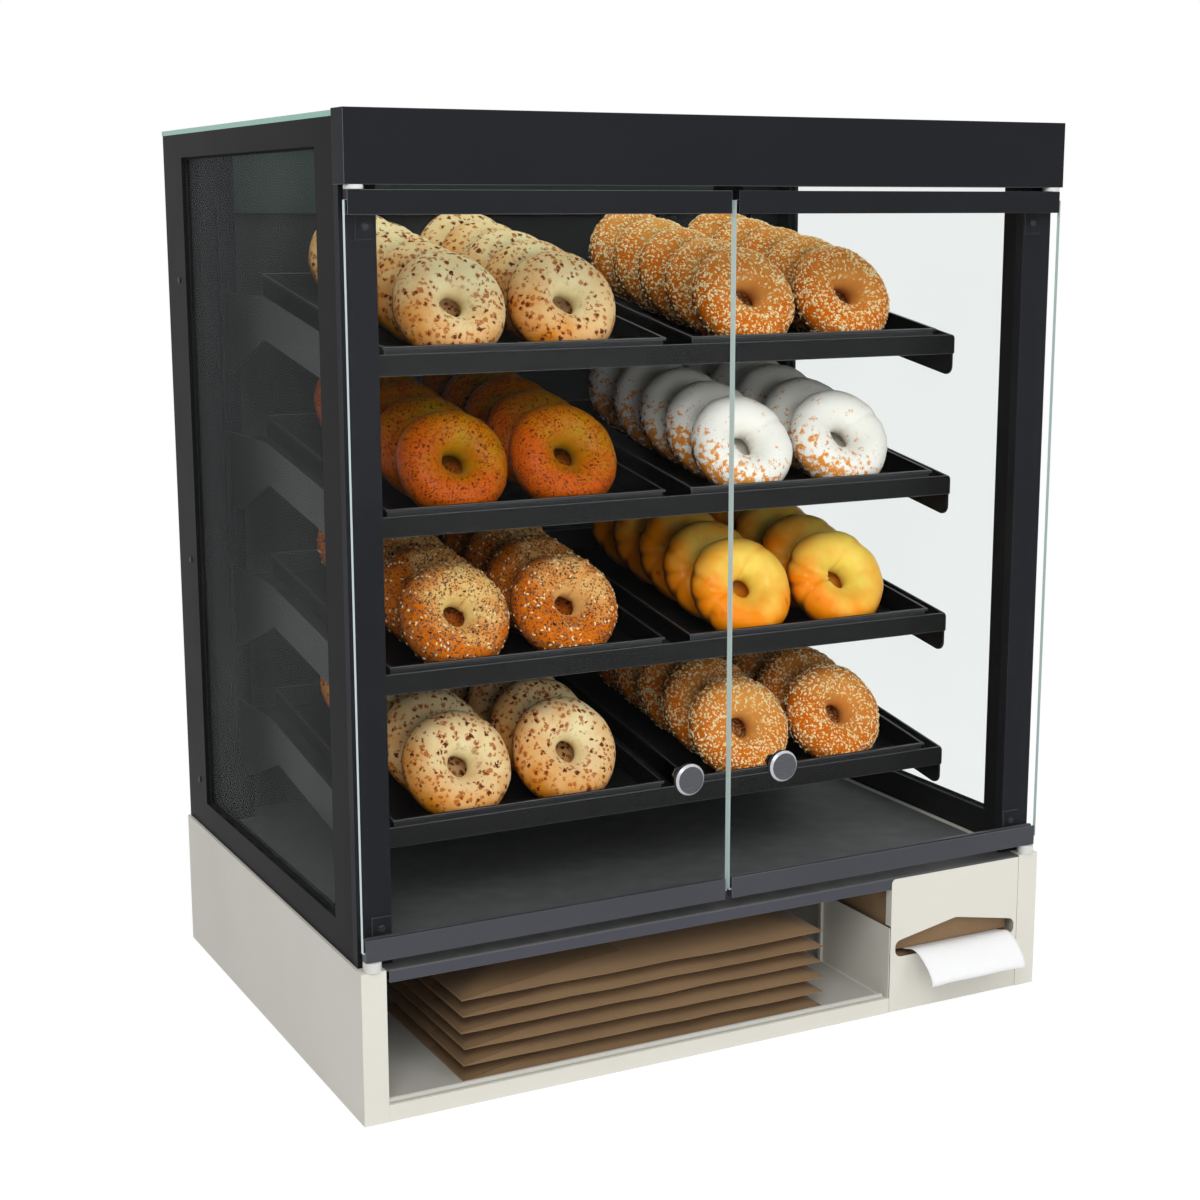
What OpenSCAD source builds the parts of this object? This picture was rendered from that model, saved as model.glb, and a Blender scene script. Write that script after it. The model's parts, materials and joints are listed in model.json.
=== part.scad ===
// Countertop bread display bin: a cream base with a bag bay and a tissue compartment,
// and a dark glazed cabinet on top with two swinging glass doors, four sloping shelves
// and eight lift-out trays.
// Millimetres. X runs to the right, Y to the back and Z up from the counter.
// Every piece is written from the front plane (y = 0) and moved back by at_front().

/* [Cabinet] */
// Width over the two side frames
case_w = 893; // [800:1:1100]
// Depth from the front plane to the back of the side frames
case_d = 650; // [630:1:760]
// Height of the side frames
case_h = 883; // [875:1:1000]
// Width of the side frames' border round the window
frame_border = 79; // [60:1:95]
// Height of the side frames' border above the window
frame_top_border = 28; // [20:1:60]
// Height of the side frames' border below the window
frame_bottom_border = 36; // [30:1:60]
// Thickness of a side frame
frame_t = 5; // [3:0.5:8]
// Depth of the liner frame behind a side frame
liner_t = 11.5; // [9:0.5:16]
// Thickness of the side window glass
side_glass_t = 5; // [4:0.5:6]
// How far the window glass reaches past the window's edge
glass_cover = 12; // [8:1:16]
// Thickness of the window gasket
gasket_t = 1; // [0.8:0.1:1.5]
// How far the gasket shows inside the window
gasket_show = 2.5; // [1.5:0.5:4]
// Thickness of the roof glass
roof_t = 6; // [4:0.5:8]
// How far the roof glass hangs over the back
roof_overhang = 4; // [0:0.5:8]
// Wall thickness of the posts, the headers and other dark sheet parts
sheet_t = 1.5; // [1:0.1:2.5]

/* [Posts and headers] */
// Width of a front post
front_post_w = 39.5; // [30:0.5:45]
// Depth of a front post
front_post_d = 13; // [13:0.5:16]
// Distance from the front plane to a front post
front_post_y = 19; // [19:0.5:24]
// Width of a rear post
rear_post_w = 58; // [50:1:66]
// Depth of a rear post
rear_post_d = 45; // [30:1:50]
// Height of the front header
header_h = 74; // [60:1:90]
// How far the header stands in front of the front plane
header_proud = 1.3; // [0.5:0.1:3]
// How far the header stands above the roof glass
header_rise = 1.6; // [0.5:0.1:4]
// Height of the rear header
rear_header_h = 95; // [60:1:110]
// Depth of the rear header
rear_header_d = 20; // [12:1:28]
// Thickness of the back panel
back_panel_t = 4; // [3:0.5:5]

/* [Base] */
// Height of the base
base_h = 172; // [165:1:220]
// How far the base stands out past the cabinet on each side
base_margin = 3.5; // [0:0.5:12]
// How far the base stands out behind the cabinet
base_back_margin = 2; // [2:0.5:8]
// Width of a base side box
base_side_w = 28.5; // [27:0.5:36]
// Sheet thickness of the base
base_t = 1.2; // [0.8:0.1:1.3]
// Height of the front lip below the bag bay
base_lip_h = 19; // [14:1:26]
// Height of the dark bar above the bag bay
deck_bar_h = 13.5; // [10:0.5:20]
// Depth of the dark bar
deck_bar_d = 12; // [8:1:20]
// Clearance between the tissue panel and the dark bar behind it
bar_gap = 0.3; // [0.2:0.1:0.5]

/* [Bag bay and tissue compartment] */
// Inside depth of the bag bay
bag_bay_d = 400; // [300:1:560]
// Radius of the bag liner's rolled front edge
roll_r = 3.2; // [2:0.1:4]
// Width of the tissue panel
tissue_w = 191.5; // [188:0.5:240]
// Height of the wall between the bag bay and the tissue compartment
divider_h = 89; // [60:1:110]
// Distance of the wall's stiffening rib from the front
rib_y = 142; // [60:1:200]
// Width of the stiffening rib
rib_w = 7; // [4:0.5:12]
// Depth of the tissue panel's folded edges
tissue_return = 12; // [6:1:20]
// Radius of the tissue panel's top corner
tissue_corner_r = 6; // [2:0.5:12]
// Width of the tissue slot over its round ends
slot_w = 180; // [120:1:182]
// Radius of the tissue slot's round ends
slot_end_r = 10; // [6:0.5:14]
// Height of the tissue slot in the middle
slot_h = 37; // [30:1:50]
// Height of the tissue slot's lower edge above the counter
slot_z = 70; // [50:1:80]

/* [Doors] */
// Thickness of the door glass
door_glass_t = 6; // [5:0.5:6]
// Distance from the front plane to the door glass
door_glass_y = 1; // [1:0.1:2]
// Gap between the two panes at the middle
pane_gap = 3; // [2:0.5:6]
// How far the glass stands past a rail's inner end
glass_past_inner = 3; // [1:0.5:5]
// How far the glass stands past a rail's outer end
glass_past_outer = 2.6; // [1:0.1:4]
// Height of a door rail
rail_h = 24.5; // [22:0.5:32]
// Depth of a door rail
rail_d = 12; // [12:0.5:14]
// Depth of the groove that holds the glass
groove_h = 14.5; // [10:0.5:16]
// Distance of the pivot from the outer end of the rail
pivot_in = 8.8; // [8.5:0.1:12]
// Distance of the pivot behind the front plane
pivot_y = 6; // [5.8:0.1:6.2]
// Radius of a pivot pin
pin_r = 2.5; // [2:0.1:2.6]
// Running clearance round a pivot pin
pin_clearance = 0.05; // [0.02:0.01:0.1]
// Radius of a pivot bushing's flange
bushing_r = 10; // [8:0.5:11]
// Wall of a pivot bushing's spigot
bushing_wall = 2; // [1.5:0.1:2.1]
// Height of a lower bushing's flange
lower_bushing_h = 11.2; // [8:0.1:14]
// Height of an upper bushing's flange
upper_bushing_h = 4.5; // [3:0.1:8]
// Length of a bushing's spigot
spigot_h = 10; // [6:0.5:14]
// Gap between a bushing and the rail that turns on it
turn_gap = 0.3; // [0.2:0.1:0.5]
// Radius of a door knob
knob_r = 18; // [14:0.5:22]
// Thickness of a door knob's disc
knob_disc_t = 9; // [6:0.5:12]
// Length of a door knob's neck
knob_neck_l = 10.7; // [8:0.1:16]
// Radius of a door knob's neck
knob_neck_r = 8; // [6:0.5:11]
// Distance of a knob from the middle of the cabinet
knob_x = 61.5; // [40:0.5:90]
// Height of the knobs above the counter
knob_z = 338; // [280:1:480]
// Radius of a knob's screw
knob_screw_r = 3; // [2.5:0.1:4]
// Width across the flats of a knob's nut
knob_nut_w = 14; // [12:1:18]
// Thickness of a knob's nut
knob_nut_t = 5; // [4:0.5:7]

/* [Shelves] */
// Slope of the shelves in degrees, low at the front
shelf_tilt = 9.4; // [7:0.1:11]
// Distance from the front plane to a shelf's front lip
shelf_y = 124; // [110:1:135]
// Height of the lowest shelf's lip above the base
first_shelf_z = 91.5; // [60:0.5:100]
// Number of slots from one shelf to the next
slots_per_shelf = 7; // [7:1:7]
// Distance from slot to slot in the shelf standards
slot_pitch = 25; // [24:0.1:26]
// Height of a shelf's front lip
shelf_lip_h = 23.5; // [20:0.5:26]
// Thickness of a shelf's folded front lip
shelf_lip_t = 3; // [2:0.5:4]
// Height of the shelf plate above the bottom of its lip
shelf_plate_rise = 2; // [1:0.5:6]
// Depth of a shelf plate behind its lip
shelf_d = 413; // [411:1:425]
// Thickness of a bracket plate
bracket_t = 3; // [2:0.5:4]
// How far a bracket reaches below its shelf's lip
bracket_drop = 28; // [20:1:34]
// How far a bracket's tail widens below its arm
bracket_tail = 46; // [30:1:60]
// Length of a bracket's level stretch at the back
bracket_back = 155; // [140:1:170]
// Width of the ledge that carries the shelf plate
ledge_w = 12; // [8:1:14]
// Width of a shelf standard
standard_w = 14; // [12:0.5:16]
// Depth of a shelf standard
standard_d = 8; // [7:0.5:12]
// Height of a slot in a standard
hook_slot_h = 14; // [12:0.5:16]
// Clearance on each side of a hook in its slot
hook_clearance = 0.5; // [0.3:0.1:0.8]
// Distance from a bracket's outer face to the liner
bracket_side_gap = 39; // [39:1:50]

/* [Trays] */
// Length of a tray
tray_l = 408; // [380:1:410]
// Height of a tray
tray_h = 28; // [25:0.5:34]
// Wall thickness of a tray
tray_t = 1.2; // [0.8:0.1:2]
// Width of a tray's rim
rim_w = 2.5; // [1.5:0.5:4]
// Height of a tray's rim
rim_h = 3; // [2:0.5:4]
// Space between the two trays of a shelf
tray_gap = 38.5; // [25:0.5:50]
// Space between a tray and the bracket beside it
tray_side_gap = 28; // [18:1:36]
// Clearance under a tray
tray_rest = 0.3; // [0.2:0.1:0.5]

/* [Fasteners] */
// Radius of a screw's head
head_r = 4; // [3:0.5:5]
// Height of a screw's head
head_h = 1.5; // [1:0.1:1.8]
// Radius of a screw's shank
shank_r = 2; // [1.5:0.1:2.4]
// Clearance round a screw's shank
shank_clearance = 0.1; // [0.05:0.05:0.2]
// Length of a screw's shank
shank_l = 9; // [7:0.5:10]
// Width of a post plate
plate_w = 22; // [14:1:22]
// Height of a post plate
plate_h = 26; // [16:1:30]
// Distance of a post plate from the end of its post
plate_in = 28; // [20:1:40]
// Thickness of a post plate
plate_t = 1.5; // [1:0.1:1.6]

/* [Hidden] */
$fn = 48;
SHELVES = [1, 2, 3, 4];

// Cabinet, worked out from the sizes above
case_half = case_w / 2;
case_top = base_h + case_h;
roof_top = case_top + roof_t;
header_top = roof_top + header_rise;
header_z = header_top - header_h;
front_post_back = front_post_y + front_post_d;
frame_in = case_half - frame_t;
liner_in = frame_in - liner_t;
rear_post_in = liner_in - rear_post_w;
back_panel_y = case_d - back_panel_t - head_h + 0.5;
rear_post_y = back_panel_y - rear_post_d;
window_y = frame_border + 6;
window_l = case_d - 2 * frame_border - 6;
window_z = base_h + frame_bottom_border;
window_h = case_h - frame_top_border - frame_bottom_border;

// Base
base_half = case_half + base_margin;
base_in = base_half - base_side_w;
base_side_d = case_d + base_back_margin - base_t;
base_d = base_side_d + base_t;
deck_bar_y = base_t + bar_gap;
deck_bar_top = base_h - sheet_t;
deck_bar_half = base_in - 4;
panel_clearance = 0.5;
tissue_x = base_in - panel_clearance - tissue_w;
tissue_top = base_h - 2;
slot_x = tissue_x + tissue_w / 2 + 1.5;

// Doors
door_low = base_h + lower_bushing_h + turn_gap;
door_high = header_z - upper_bushing_h - turn_gap;
pane_in = pane_gap / 2;
pane_out = case_half - 0.1;
rail_in = pane_in + glass_past_inner;
rail_out = pane_out - glass_past_outer;
pane_low = door_low + rail_h - groove_h;
pane_high = door_high - rail_h + groove_h;
pivot_x = rail_out - pivot_in;
pin_hole_r = pin_r + pin_clearance;
spigot_r = pin_hole_r + bushing_wall;
pin_in_rail = rail_h - groove_h - 1;
knob_reach = knob_disc_t + knob_neck_l;
knob_front = door_glass_y - knob_reach;
knob_hole_r = knob_screw_r + shank_clearance;
knob_screw_l = door_glass_t + knob_nut_t - 1;

// Shelves and trays
shelf_step = slots_per_shelf * slot_pitch;
bracket_out = liner_in - bracket_side_gap;
bracket_in = bracket_out - bracket_t;
bracket_mid = (bracket_out + bracket_in) / 2;
standard_front = rear_post_y - standard_d;
bracket_y = shelf_y + shelf_lip_t;
plate_half = bracket_in - 0.2;
tilt_rise = tan(shelf_tilt);
bracket_knee_y = standard_front - bracket_back;
tray_w = plate_half - tray_side_gap - tray_gap / 2;
tray_x = tray_gap / 2;
tray_lean = (shelf_lip_h - shelf_plate_rise - sheet_t) * tilt_rise;
tray_front_y = bracket_y + tray_lean + 0.4;
standard_low = base_h + 20;
standard_h = case_h - 110;

// Depth of the whole object, which centres it on the origin
rear_reach = max(case_d + roof_overhang, base_d);
front_y = (-knob_front - rear_reach) / 2;

// Colours
CREAM = [0.87, 0.86, 0.81];
BLACK = [0.13, 0.13, 0.14];
BAR_GREY = [0.25, 0.26, 0.29];
CLEAR = [0.75, 0.85, 0.82, 0.3];
KNOB_GREY = [0.3, 0.31, 0.35];
NYLON = [0.93, 0.93, 0.91];
STEEL = [0.6, 0.6, 0.62];
RUBBER = [0.07, 0.07, 0.07];

// Moves a piece from the front plane to its place round the origin
module at_front() {
    translate([0, front_y, 0]) children();
}

// Keeps a right-hand piece (side = 1) or mirrors it to the left (side = -1)
module on_side(side) {
    mirror([side < 0 ? 1 : 0, 0, 0]) children();
}

// A block from one corner to the opposite one
module block(low, high) {
    translate(low) cube(high - low);
}

// A Y-Z outline drawn out along X between two positions
module drawn_along_x(x_low, x_high) {
    translate([x_low, 0, 0])
        rotate([90, 0, 90])
            linear_extrude(x_high - x_low) children();
}

// An X-Z outline given a thickness to the back, its front face at y
module drawn_to_back(y, thickness) {
    translate([0, y + thickness, 0])
        rotate([90, 0, 0])
            linear_extrude(thickness) children();
}

// Points of a rounded corner at b, between the outline's points a and c
function corner_arc(a, b, c, r, steps = 8) =
    let (
        u = (a - b) / norm(a - b),
        v = (c - b) / norm(c - b),
        half = acos(u * v) / 2,
        centre = b + (u + v) / norm(u + v) * r / sin(half),
        from = b + u * r / tan(half) - centre,
        to = b + v * r / tan(half) - centre,
        start = atan2(from[1], from[0]),
        turn = atan2(from[0] * to[1] - from[1] * to[0], from * to)
    )
    [for (i = [0:steps])
        centre + r * [cos(start + turn * i / steps), sin(start + turn * i / steps)]];

// An outline with each corner rounded to its own radius, 0 for a sharp one
function rounded(points, radii) =
    let (n = len(points))
    [for (i = [0:n - 1])
        let (a = points[(i + n - 1) % n], b = points[i], c = points[(i + 1) % n])
        each radii[i] > 0 ? corner_arc(a, b, c, radii[i]) : [b]];

// A pan-head screw along +Z, its head above the origin and its shank below
module screw(length) {
    rotate_extrude()
        polygon([[0, -length], [shank_r, -length], [shank_r, 0], [head_r, 0],
            [head_r, head_h * 0.4], [head_r * 0.7, head_h], [0, head_h]]);
}

// The hole for a screw's shank, a little past the surface
module screw_hole(length) {
    translate([0, 0, -length - 0.5])
        cylinder(r = shank_r + shank_clearance, h = length + 1);
}

// Height of the bottom of a shelf's lip
function shelf_z(number) = base_h + first_shelf_z + (number - 1) * shelf_step;

// Rise of the slope at a distance from the front plane
function slope_at(y) = (y - bracket_y) * tilt_rise;

// Base side: a folded box, open at the back
module base_side(side) {
    color(CREAM) at_front() on_side(side)
        difference() {
            block([base_in, 0, 0], [base_half, base_side_d, base_h]);
            block([base_in + base_t, base_t, base_t],
                [base_half - base_t, base_side_d + 1, base_h - base_t]);
            translate([pivot_x, pivot_y, base_h])
                cylinder(r = spigot_r + pin_clearance, h = 3 * base_t, center = true);
        }
}

module base_floor() {
    color(CREAM) at_front() {
        block([-base_in, base_t, base_lip_h - base_t], [base_in, base_side_d, base_lip_h]);
        block([-base_in, 0, 0], [tissue_x - panel_clearance, base_t, base_lip_h]);
        block([-base_in, base_side_d - base_t, 0],
            [base_in, base_side_d, base_lip_h - base_t]);
    }
}

module base_back() {
    color(CREAM) at_front()
        block([-base_half, base_side_d, 0], [base_half, base_d, base_h]);
}

// Liner of the bag bay: floor with a rolled front edge, left wall and back wall
module bag_liner() {
    roll_y = base_t + 2 + roll_r;
    wall_top = deck_bar_top - deck_bar_h - 8;
    right = tissue_x - base_t - rib_w;
    color(CREAM) at_front() {
        drawn_along_x(-base_in, right)
            union() {
                translate([roll_y, base_lip_h + roll_r]) circle(r = roll_r);
                translate([roll_y, base_lip_h]) square([bag_bay_d - roll_y, base_t]);
            }
        block([-base_in, bag_bay_d, base_lip_h],
            [right, bag_bay_d + base_t, wall_top]);
    }
}

// Low wall between the bag bay and the tissue compartment, with a vertical rib
module tissue_divider() {
    top = base_lip_h + divider_h;
    right = tissue_x;
    color(CREAM) at_front() {
        block([right - base_t, base_t + bar_gap, base_lip_h],
            [right, bag_bay_d, top]);
        block([right - rib_w, rib_y, base_lip_h],
            [right - base_t, rib_y + rib_w, top]);
    }
}

// Outline of the tissue slot: round ends and a raised middle
module slot_outline() {
    reach = slot_w / 2 - slot_end_r;
    peak = slot_h - 2 * slot_end_r;
    outline = [[-reach - slot_end_r, 0], [reach + slot_end_r, 0],
        [reach + slot_end_r, 2 * slot_end_r], [0, 2 * slot_end_r + peak],
        [-reach - slot_end_r, 2 * slot_end_r]];
    end_r = slot_end_r * 0.9;
    translate([slot_x, slot_z])
        polygon(rounded(outline, [end_r, end_r, end_r, 14, end_r]));
}

module tissue_panel() {
    right = tissue_x + tissue_w;
    color(CREAM) at_front() {
        drawn_to_back(0, base_t)
            difference() {
                polygon(rounded([[tissue_x, 0.5], [right, 0.5],
                    [right, tissue_top], [tissue_x, tissue_top]],
                    [0, 0, 0, tissue_corner_r]));
                slot_outline();
            }
        block([tissue_x, base_t, base_lip_h + divider_h + 2],
            [tissue_x + base_t, tissue_return, deck_bar_top - deck_bar_h - 1]);
        block([right - base_t, base_t, base_lip_h + 1],
            [right, tissue_return, deck_bar_top - deck_bar_h - 1]);
    }
}

module deck_plate() {
    color(BLACK) at_front()
        block([-base_in, deck_bar_y, deck_bar_top], [base_in, base_side_d, base_h]);
}

module deck_front_bar() {
    color(BAR_GREY) at_front()
        difference() {
            block([-deck_bar_half, deck_bar_y, deck_bar_top - deck_bar_h],
                [deck_bar_half, deck_bar_y + deck_bar_d, deck_bar_top]);
            block([-deck_bar_half - 1, deck_bar_y + sheet_t, deck_bar_top - deck_bar_h + sheet_t],
                [deck_bar_half + 1, deck_bar_y + deck_bar_d + 1, deck_bar_top - sheet_t]);
        }
}

// The window opening, grown by a margin and cut through from x_low to x_high
module window_cut(x_low, x_high, grow = 0) {
    block([x_low, window_y - grow, window_z - grow],
        [x_high, window_y + window_l + grow, window_z + window_h + grow]);
}

// Places of the side screws, the shank pointing inwards
module at_side_screws() {
    for (share = [0.07, 0.4, 0.8])
        translate([case_half, case_d - 51, base_h + case_h * share])
            rotate([0, 90, 0]) children();
}

module side_frame(side) {
    color(BLACK) at_front() on_side(side)
        difference() {
            block([frame_in, front_post_back, base_h], [case_half, case_d, case_top]);
            window_cut(frame_in - 1, case_half + 1);
            at_side_screws() screw_hole(shank_l);
        }
}

module side_gaskets() {
    color(RUBBER) at_front()
        for (side = [-1, 1])
            on_side(side)
                difference() {
                    window_cut(frame_in - gasket_t, frame_in, glass_cover);
                    window_cut(frame_in - gasket_t - 1, frame_in + 1, -gasket_show);
                }
}

module side_glass(side) {
    color(CLEAR) at_front() on_side(side)
        window_cut(frame_in - gasket_t - side_glass_t, frame_in - gasket_t, glass_cover);
}

module side_liner(side) {
    color(BLACK) at_front() on_side(side)
        difference() {
            block([liner_in, front_post_back, base_h], [frame_in, back_panel_y, case_top]);
            window_cut(liner_in - 1, frame_in + 1);
            window_cut(frame_in - gasket_t - side_glass_t, frame_in + 1,
                glass_cover + panel_clearance);
            at_side_screws() screw_hole(shank_l);
        }
}

// A post's square tube
module tube_block(low, high, wall) {
    difference() {
        block(low, high);
        block(low + [wall, wall, -1], high + [-wall, -wall, 1]);
    }
}

// Places of the screws that hold the post plates, the shank pointing back
module at_plate_screws() {
    for (z = [base_h + plate_in + plate_h / 2, header_z - plate_in - plate_h / 2])
        translate([case_half - front_post_w + 1 + plate_w / 2, front_post_y - plate_t, z])
            rotate([90, 0, 0]) children();
}

module front_post(side) {
    color(BLACK) at_front() on_side(side)
        difference() {
            tube_block([case_half - front_post_w, front_post_y, base_h],
                [case_half, front_post_back, header_z], sheet_t);
            at_plate_screws() screw_hole(shank_l);
        }
}

// Places of the back panel's screws, the shank pointing to the front
module at_back_screws() {
    for (share = [0.04, 0.35, 0.65, 0.94])
        translate([rear_post_in + rear_post_w / 2, back_panel_y + back_panel_t,
            base_h + case_h * share])
            rotate([-90, 0, 0]) children();
}

module rear_post(side) {
    color(BLACK) at_front() on_side(side)
        difference() {
            tube_block([rear_post_in, rear_post_y, base_h],
                [liner_in, back_panel_y, case_top], sheet_t);
            at_back_screws() screw_hole(shank_l);
        }
}

// Height of the lowest hook slot, set so that every bracket's hooks meet slots
hook_drop = 40;
slot_first = shelf_z(1) + slope_at(bracket_knee_y) - hook_drop - slot_pitch;
slot_count = 3 * slots_per_shelf + 5;

// Slotted uprights that carry the shelf brackets
module shelf_standards() {
    wall = sheet_t;
    color(BLACK) at_front()
        for (side = [-1, 1])
            on_side(side)
                difference() {
                    block([bracket_mid - standard_w / 2, standard_front, standard_low],
                        [bracket_mid + standard_w / 2, rear_post_y, standard_low + standard_h]);
                    block([bracket_mid - standard_w / 2 + wall, standard_front + wall,
                        standard_low - 1],
                        [bracket_mid + standard_w / 2 - wall, rear_post_y + 1,
                        standard_low + standard_h + 1]);
                    for (i = [0:slot_count - 1])
                        block([bracket_in - hook_clearance, standard_front - 1,
                            slot_first + i * slot_pitch],
                            [bracket_out + hook_clearance, standard_front + wall + 1,
                            slot_first + i * slot_pitch + hook_slot_h]);
                }
}

// Front header: a channel with end caps, open at the back
module front_header() {
    half = case_half + 0.5;
    color(BLACK) at_front()
        difference() {
            block([-half, -header_proud, header_z], [half, front_post_back, header_top]);
            block([-half + sheet_t, -header_proud + sheet_t, header_z + sheet_t],
                [half - sheet_t, front_post_back + 1, header_top - sheet_t]);
            for (side = [-1, 1])
                translate([side * pivot_x, pivot_y, header_z])
                    cylinder(r = spigot_r + pin_clearance, h = 4 * sheet_t, center = true);
        }
}

module rear_header() {
    color(BLACK) at_front()
        difference() {
            block([-rear_post_in, back_panel_y - rear_header_d, case_top - rear_header_h],
                [rear_post_in, back_panel_y, case_top]);
            block([-rear_post_in - 1, back_panel_y - rear_header_d + sheet_t,
                case_top - rear_header_h + sheet_t],
                [rear_post_in + 1, back_panel_y + 1, case_top - sheet_t]);
        }
}

module back_panel() {
    color(BLACK) at_front()
        difference() {
            block([-frame_in, back_panel_y, base_h],
                [frame_in, back_panel_y + back_panel_t, case_top]);
            for (side = [-1, 1])
                on_side(side) at_back_screws() screw_hole(shank_l);
        }
}

module roof_glass() {
    color(CLEAR) at_front()
        block([-case_half, front_post_back, case_top],
            [case_half, case_d + roof_overhang, roof_top]);
}

// Block under the header that the closed doors meet
module door_stop() {
    color(RUBBER) at_front()
        block([-14, rail_d + turn_gap, door_high - 16], [14, rail_d + 12, header_z]);
}

module post_plates() {
    color(BLACK) at_front()
        for (side = [-1, 1])
            on_side(side)
                difference() {
                    at_plate_screws()
                        translate([0, 0, -plate_t / 2])
                            cube([plate_w, plate_h, plate_t], center = true);
                    at_plate_screws() screw_hole(shank_l);
                }
}

module plate_screws() {
    color(STEEL) at_front()
        for (side = [-1, 1]) on_side(side) at_plate_screws() screw(shank_l);
}

module side_screws() {
    color(STEEL) at_front()
        for (side = [-1, 1]) on_side(side) at_side_screws() screw(shank_l);
}

module back_screws() {
    color(STEEL) at_front()
        for (side = [-1, 1]) on_side(side) at_back_screws() screw(shank_l);
}

// A flanged bushing on the Z axis, its spigot pointing down
module bushing(flange_h) {
    rotate_extrude()
        polygon([[pin_hole_r, -spigot_h], [spigot_r, -spigot_h], [spigot_r, 0],
            [bushing_r, 0], [bushing_r, flange_h], [pin_hole_r, flange_h]]);
}

module pivot_bushings() {
    color(NYLON) at_front()
        for (side = [-1, 1])
            translate([side * pivot_x, pivot_y, 0]) {
                translate([0, 0, base_h]) bushing(lower_bushing_h);
                translate([0, 0, header_z]) mirror([0, 0, 1]) bushing(upper_bushing_h);
            }
}

// A sloping shelf: a folded front lip, a plate and a turned-down back edge
module shelf(number) {
    z = shelf_z(number);
    low = z + shelf_plate_rise;
    back = bracket_y + shelf_d;
    lip = [[-bracket_out, z], [bracket_out, z],
        [bracket_out, z + shelf_lip_h], [-bracket_out, z + shelf_lip_h]];
    color(BLACK) at_front() {
        drawn_to_back(shelf_y, shelf_lip_t) polygon(rounded(lip, [0, 0, 5, 5]));
        drawn_along_x(-plate_half, plate_half)
            polygon([[bracket_y, low], [back, low + slope_at(back)],
                [back, low + slope_at(back) + sheet_t], [bracket_y, low + sheet_t]]);
        block([-plate_half + ledge_w + 2, back - sheet_t, low + slope_at(back) - 10],
            [plate_half - ledge_w - 2, back, low + slope_at(back)]);
    }
}

// Outline of a bracket in the Y-Z plane, from its shelf's lip height z
function bracket_outline(z) =
    let (
        top = z + shelf_lip_h - 1,
        bottom = z - bracket_drop,
        knee_rise = slope_at(bracket_knee_y),
        tail_z = bottom + knee_rise - bracket_tail
    )
    rounded([[bracket_y, top], [bracket_y, bottom], [bracket_knee_y, bottom + knee_rise],
        [standard_front - 28, tail_z], [standard_front, tail_z],
        [standard_front, top + knee_rise], [bracket_knee_y, top + knee_rise]],
        [0, 11, 14, 14, 8, 2, 4]);

// A hook that reaches through a slot and down behind the standard's face
module hook(z) {
    neck = hook_slot_h - 4;
    block([bracket_in, standard_front - 1, z], [bracket_out, standard_front + sheet_t + 0.3, z + neck]);
    block([bracket_in, standard_front + sheet_t + 0.3, z - 3],
        [bracket_out, standard_front + standard_d - 1, z + neck]);
}

module shelf_brackets(side) {
    color(BLACK) at_front() on_side(side)
        for (number = SHELVES) {
            z = shelf_z(number);
            ledge_z = z + shelf_plate_rise;
            back = bracket_y + shelf_d;
            drawn_along_x(bracket_in, bracket_out) polygon(bracket_outline(z));
            drawn_along_x(bracket_in - ledge_w, bracket_in)
                polygon([[bracket_y + 2, ledge_z + slope_at(bracket_y + 2) - 2],
                    [back, ledge_z + slope_at(back) - 2], [back, ledge_z + slope_at(back)],
                    [bracket_y + 2, ledge_z + slope_at(bracket_y + 2)]]);
            for (i = [0, 2])
                hook(slot_first + slot_pitch * (1 + i + (number - 1) * slots_per_shelf));
        }
}

// A tray lying flat, its lower front edge on the X axis
module flat_tray() {
    difference() {
        union() {
            cube([tray_w, tray_l, tray_h]);
            translate([-rim_w, -rim_w, tray_h - rim_h])
                cube([tray_w + 2 * rim_w, tray_l + 2 * rim_w, rim_h]);
        }
        translate([tray_t, tray_t, tray_t])
            cube([tray_w - 2 * tray_t, tray_l - 2 * tray_t, tray_h]);
    }
}

module tray(number, side) {
    rest_z = shelf_z(number) + shelf_plate_rise + slope_at(tray_front_y)
        + (sheet_t + tray_rest) / cos(shelf_tilt);
    color(BLACK) at_front() on_side(side)
        translate([tray_x, tray_front_y, rest_z])
            rotate([shelf_tilt, 0, 0]) flat_tray();
}

module door_glass(side) {
    color(CLEAR) at_front() on_side(side)
        difference() {
            block([pane_in, door_glass_y, pane_low],
                [pane_out, door_glass_y + door_glass_t, pane_high]);
            translate([knob_x, door_glass_y - 1, knob_z])
                rotate([-90, 0, 0]) cylinder(r = knob_hole_r, h = door_glass_t + 2);
        }
}

// A rail with its groove open upwards, its lower face at z = 0
module door_rail() {
    difference() {
        block([rail_in, 0, 0], [rail_out, rail_d, rail_h]);
        block([rail_in - 1, door_glass_y, rail_h - groove_h],
            [rail_out + 1, door_glass_y + door_glass_t, rail_h + 1]);
        translate([pivot_x, pivot_y, -1])
            cylinder(r = pin_hole_r, h = pin_in_rail + 1);
    }
}

module door_bottom_rail(side) {
    color(BLACK) at_front() on_side(side)
        translate([0, 0, door_low]) door_rail();
}

module door_top_rail(side) {
    color(BLACK) at_front() on_side(side)
        translate([0, 0, door_high]) mirror([0, 0, 1]) door_rail();
}

module door_pins(side) {
    pin_l = pin_in_rail + turn_gap + spigot_h - 1;
    color(STEEL) at_front()
        translate([side * pivot_x, pivot_y, 0]) {
            translate([0, 0, door_low + pin_in_rail - pin_l - lower_bushing_h])
                cylinder(r = pin_r, h = pin_l + lower_bushing_h - 0.2);
            translate([0, 0, door_high - pin_in_rail + 0.2])
                cylinder(r = pin_r, h = pin_l + upper_bushing_h - 0.2);
        }
}

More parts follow.
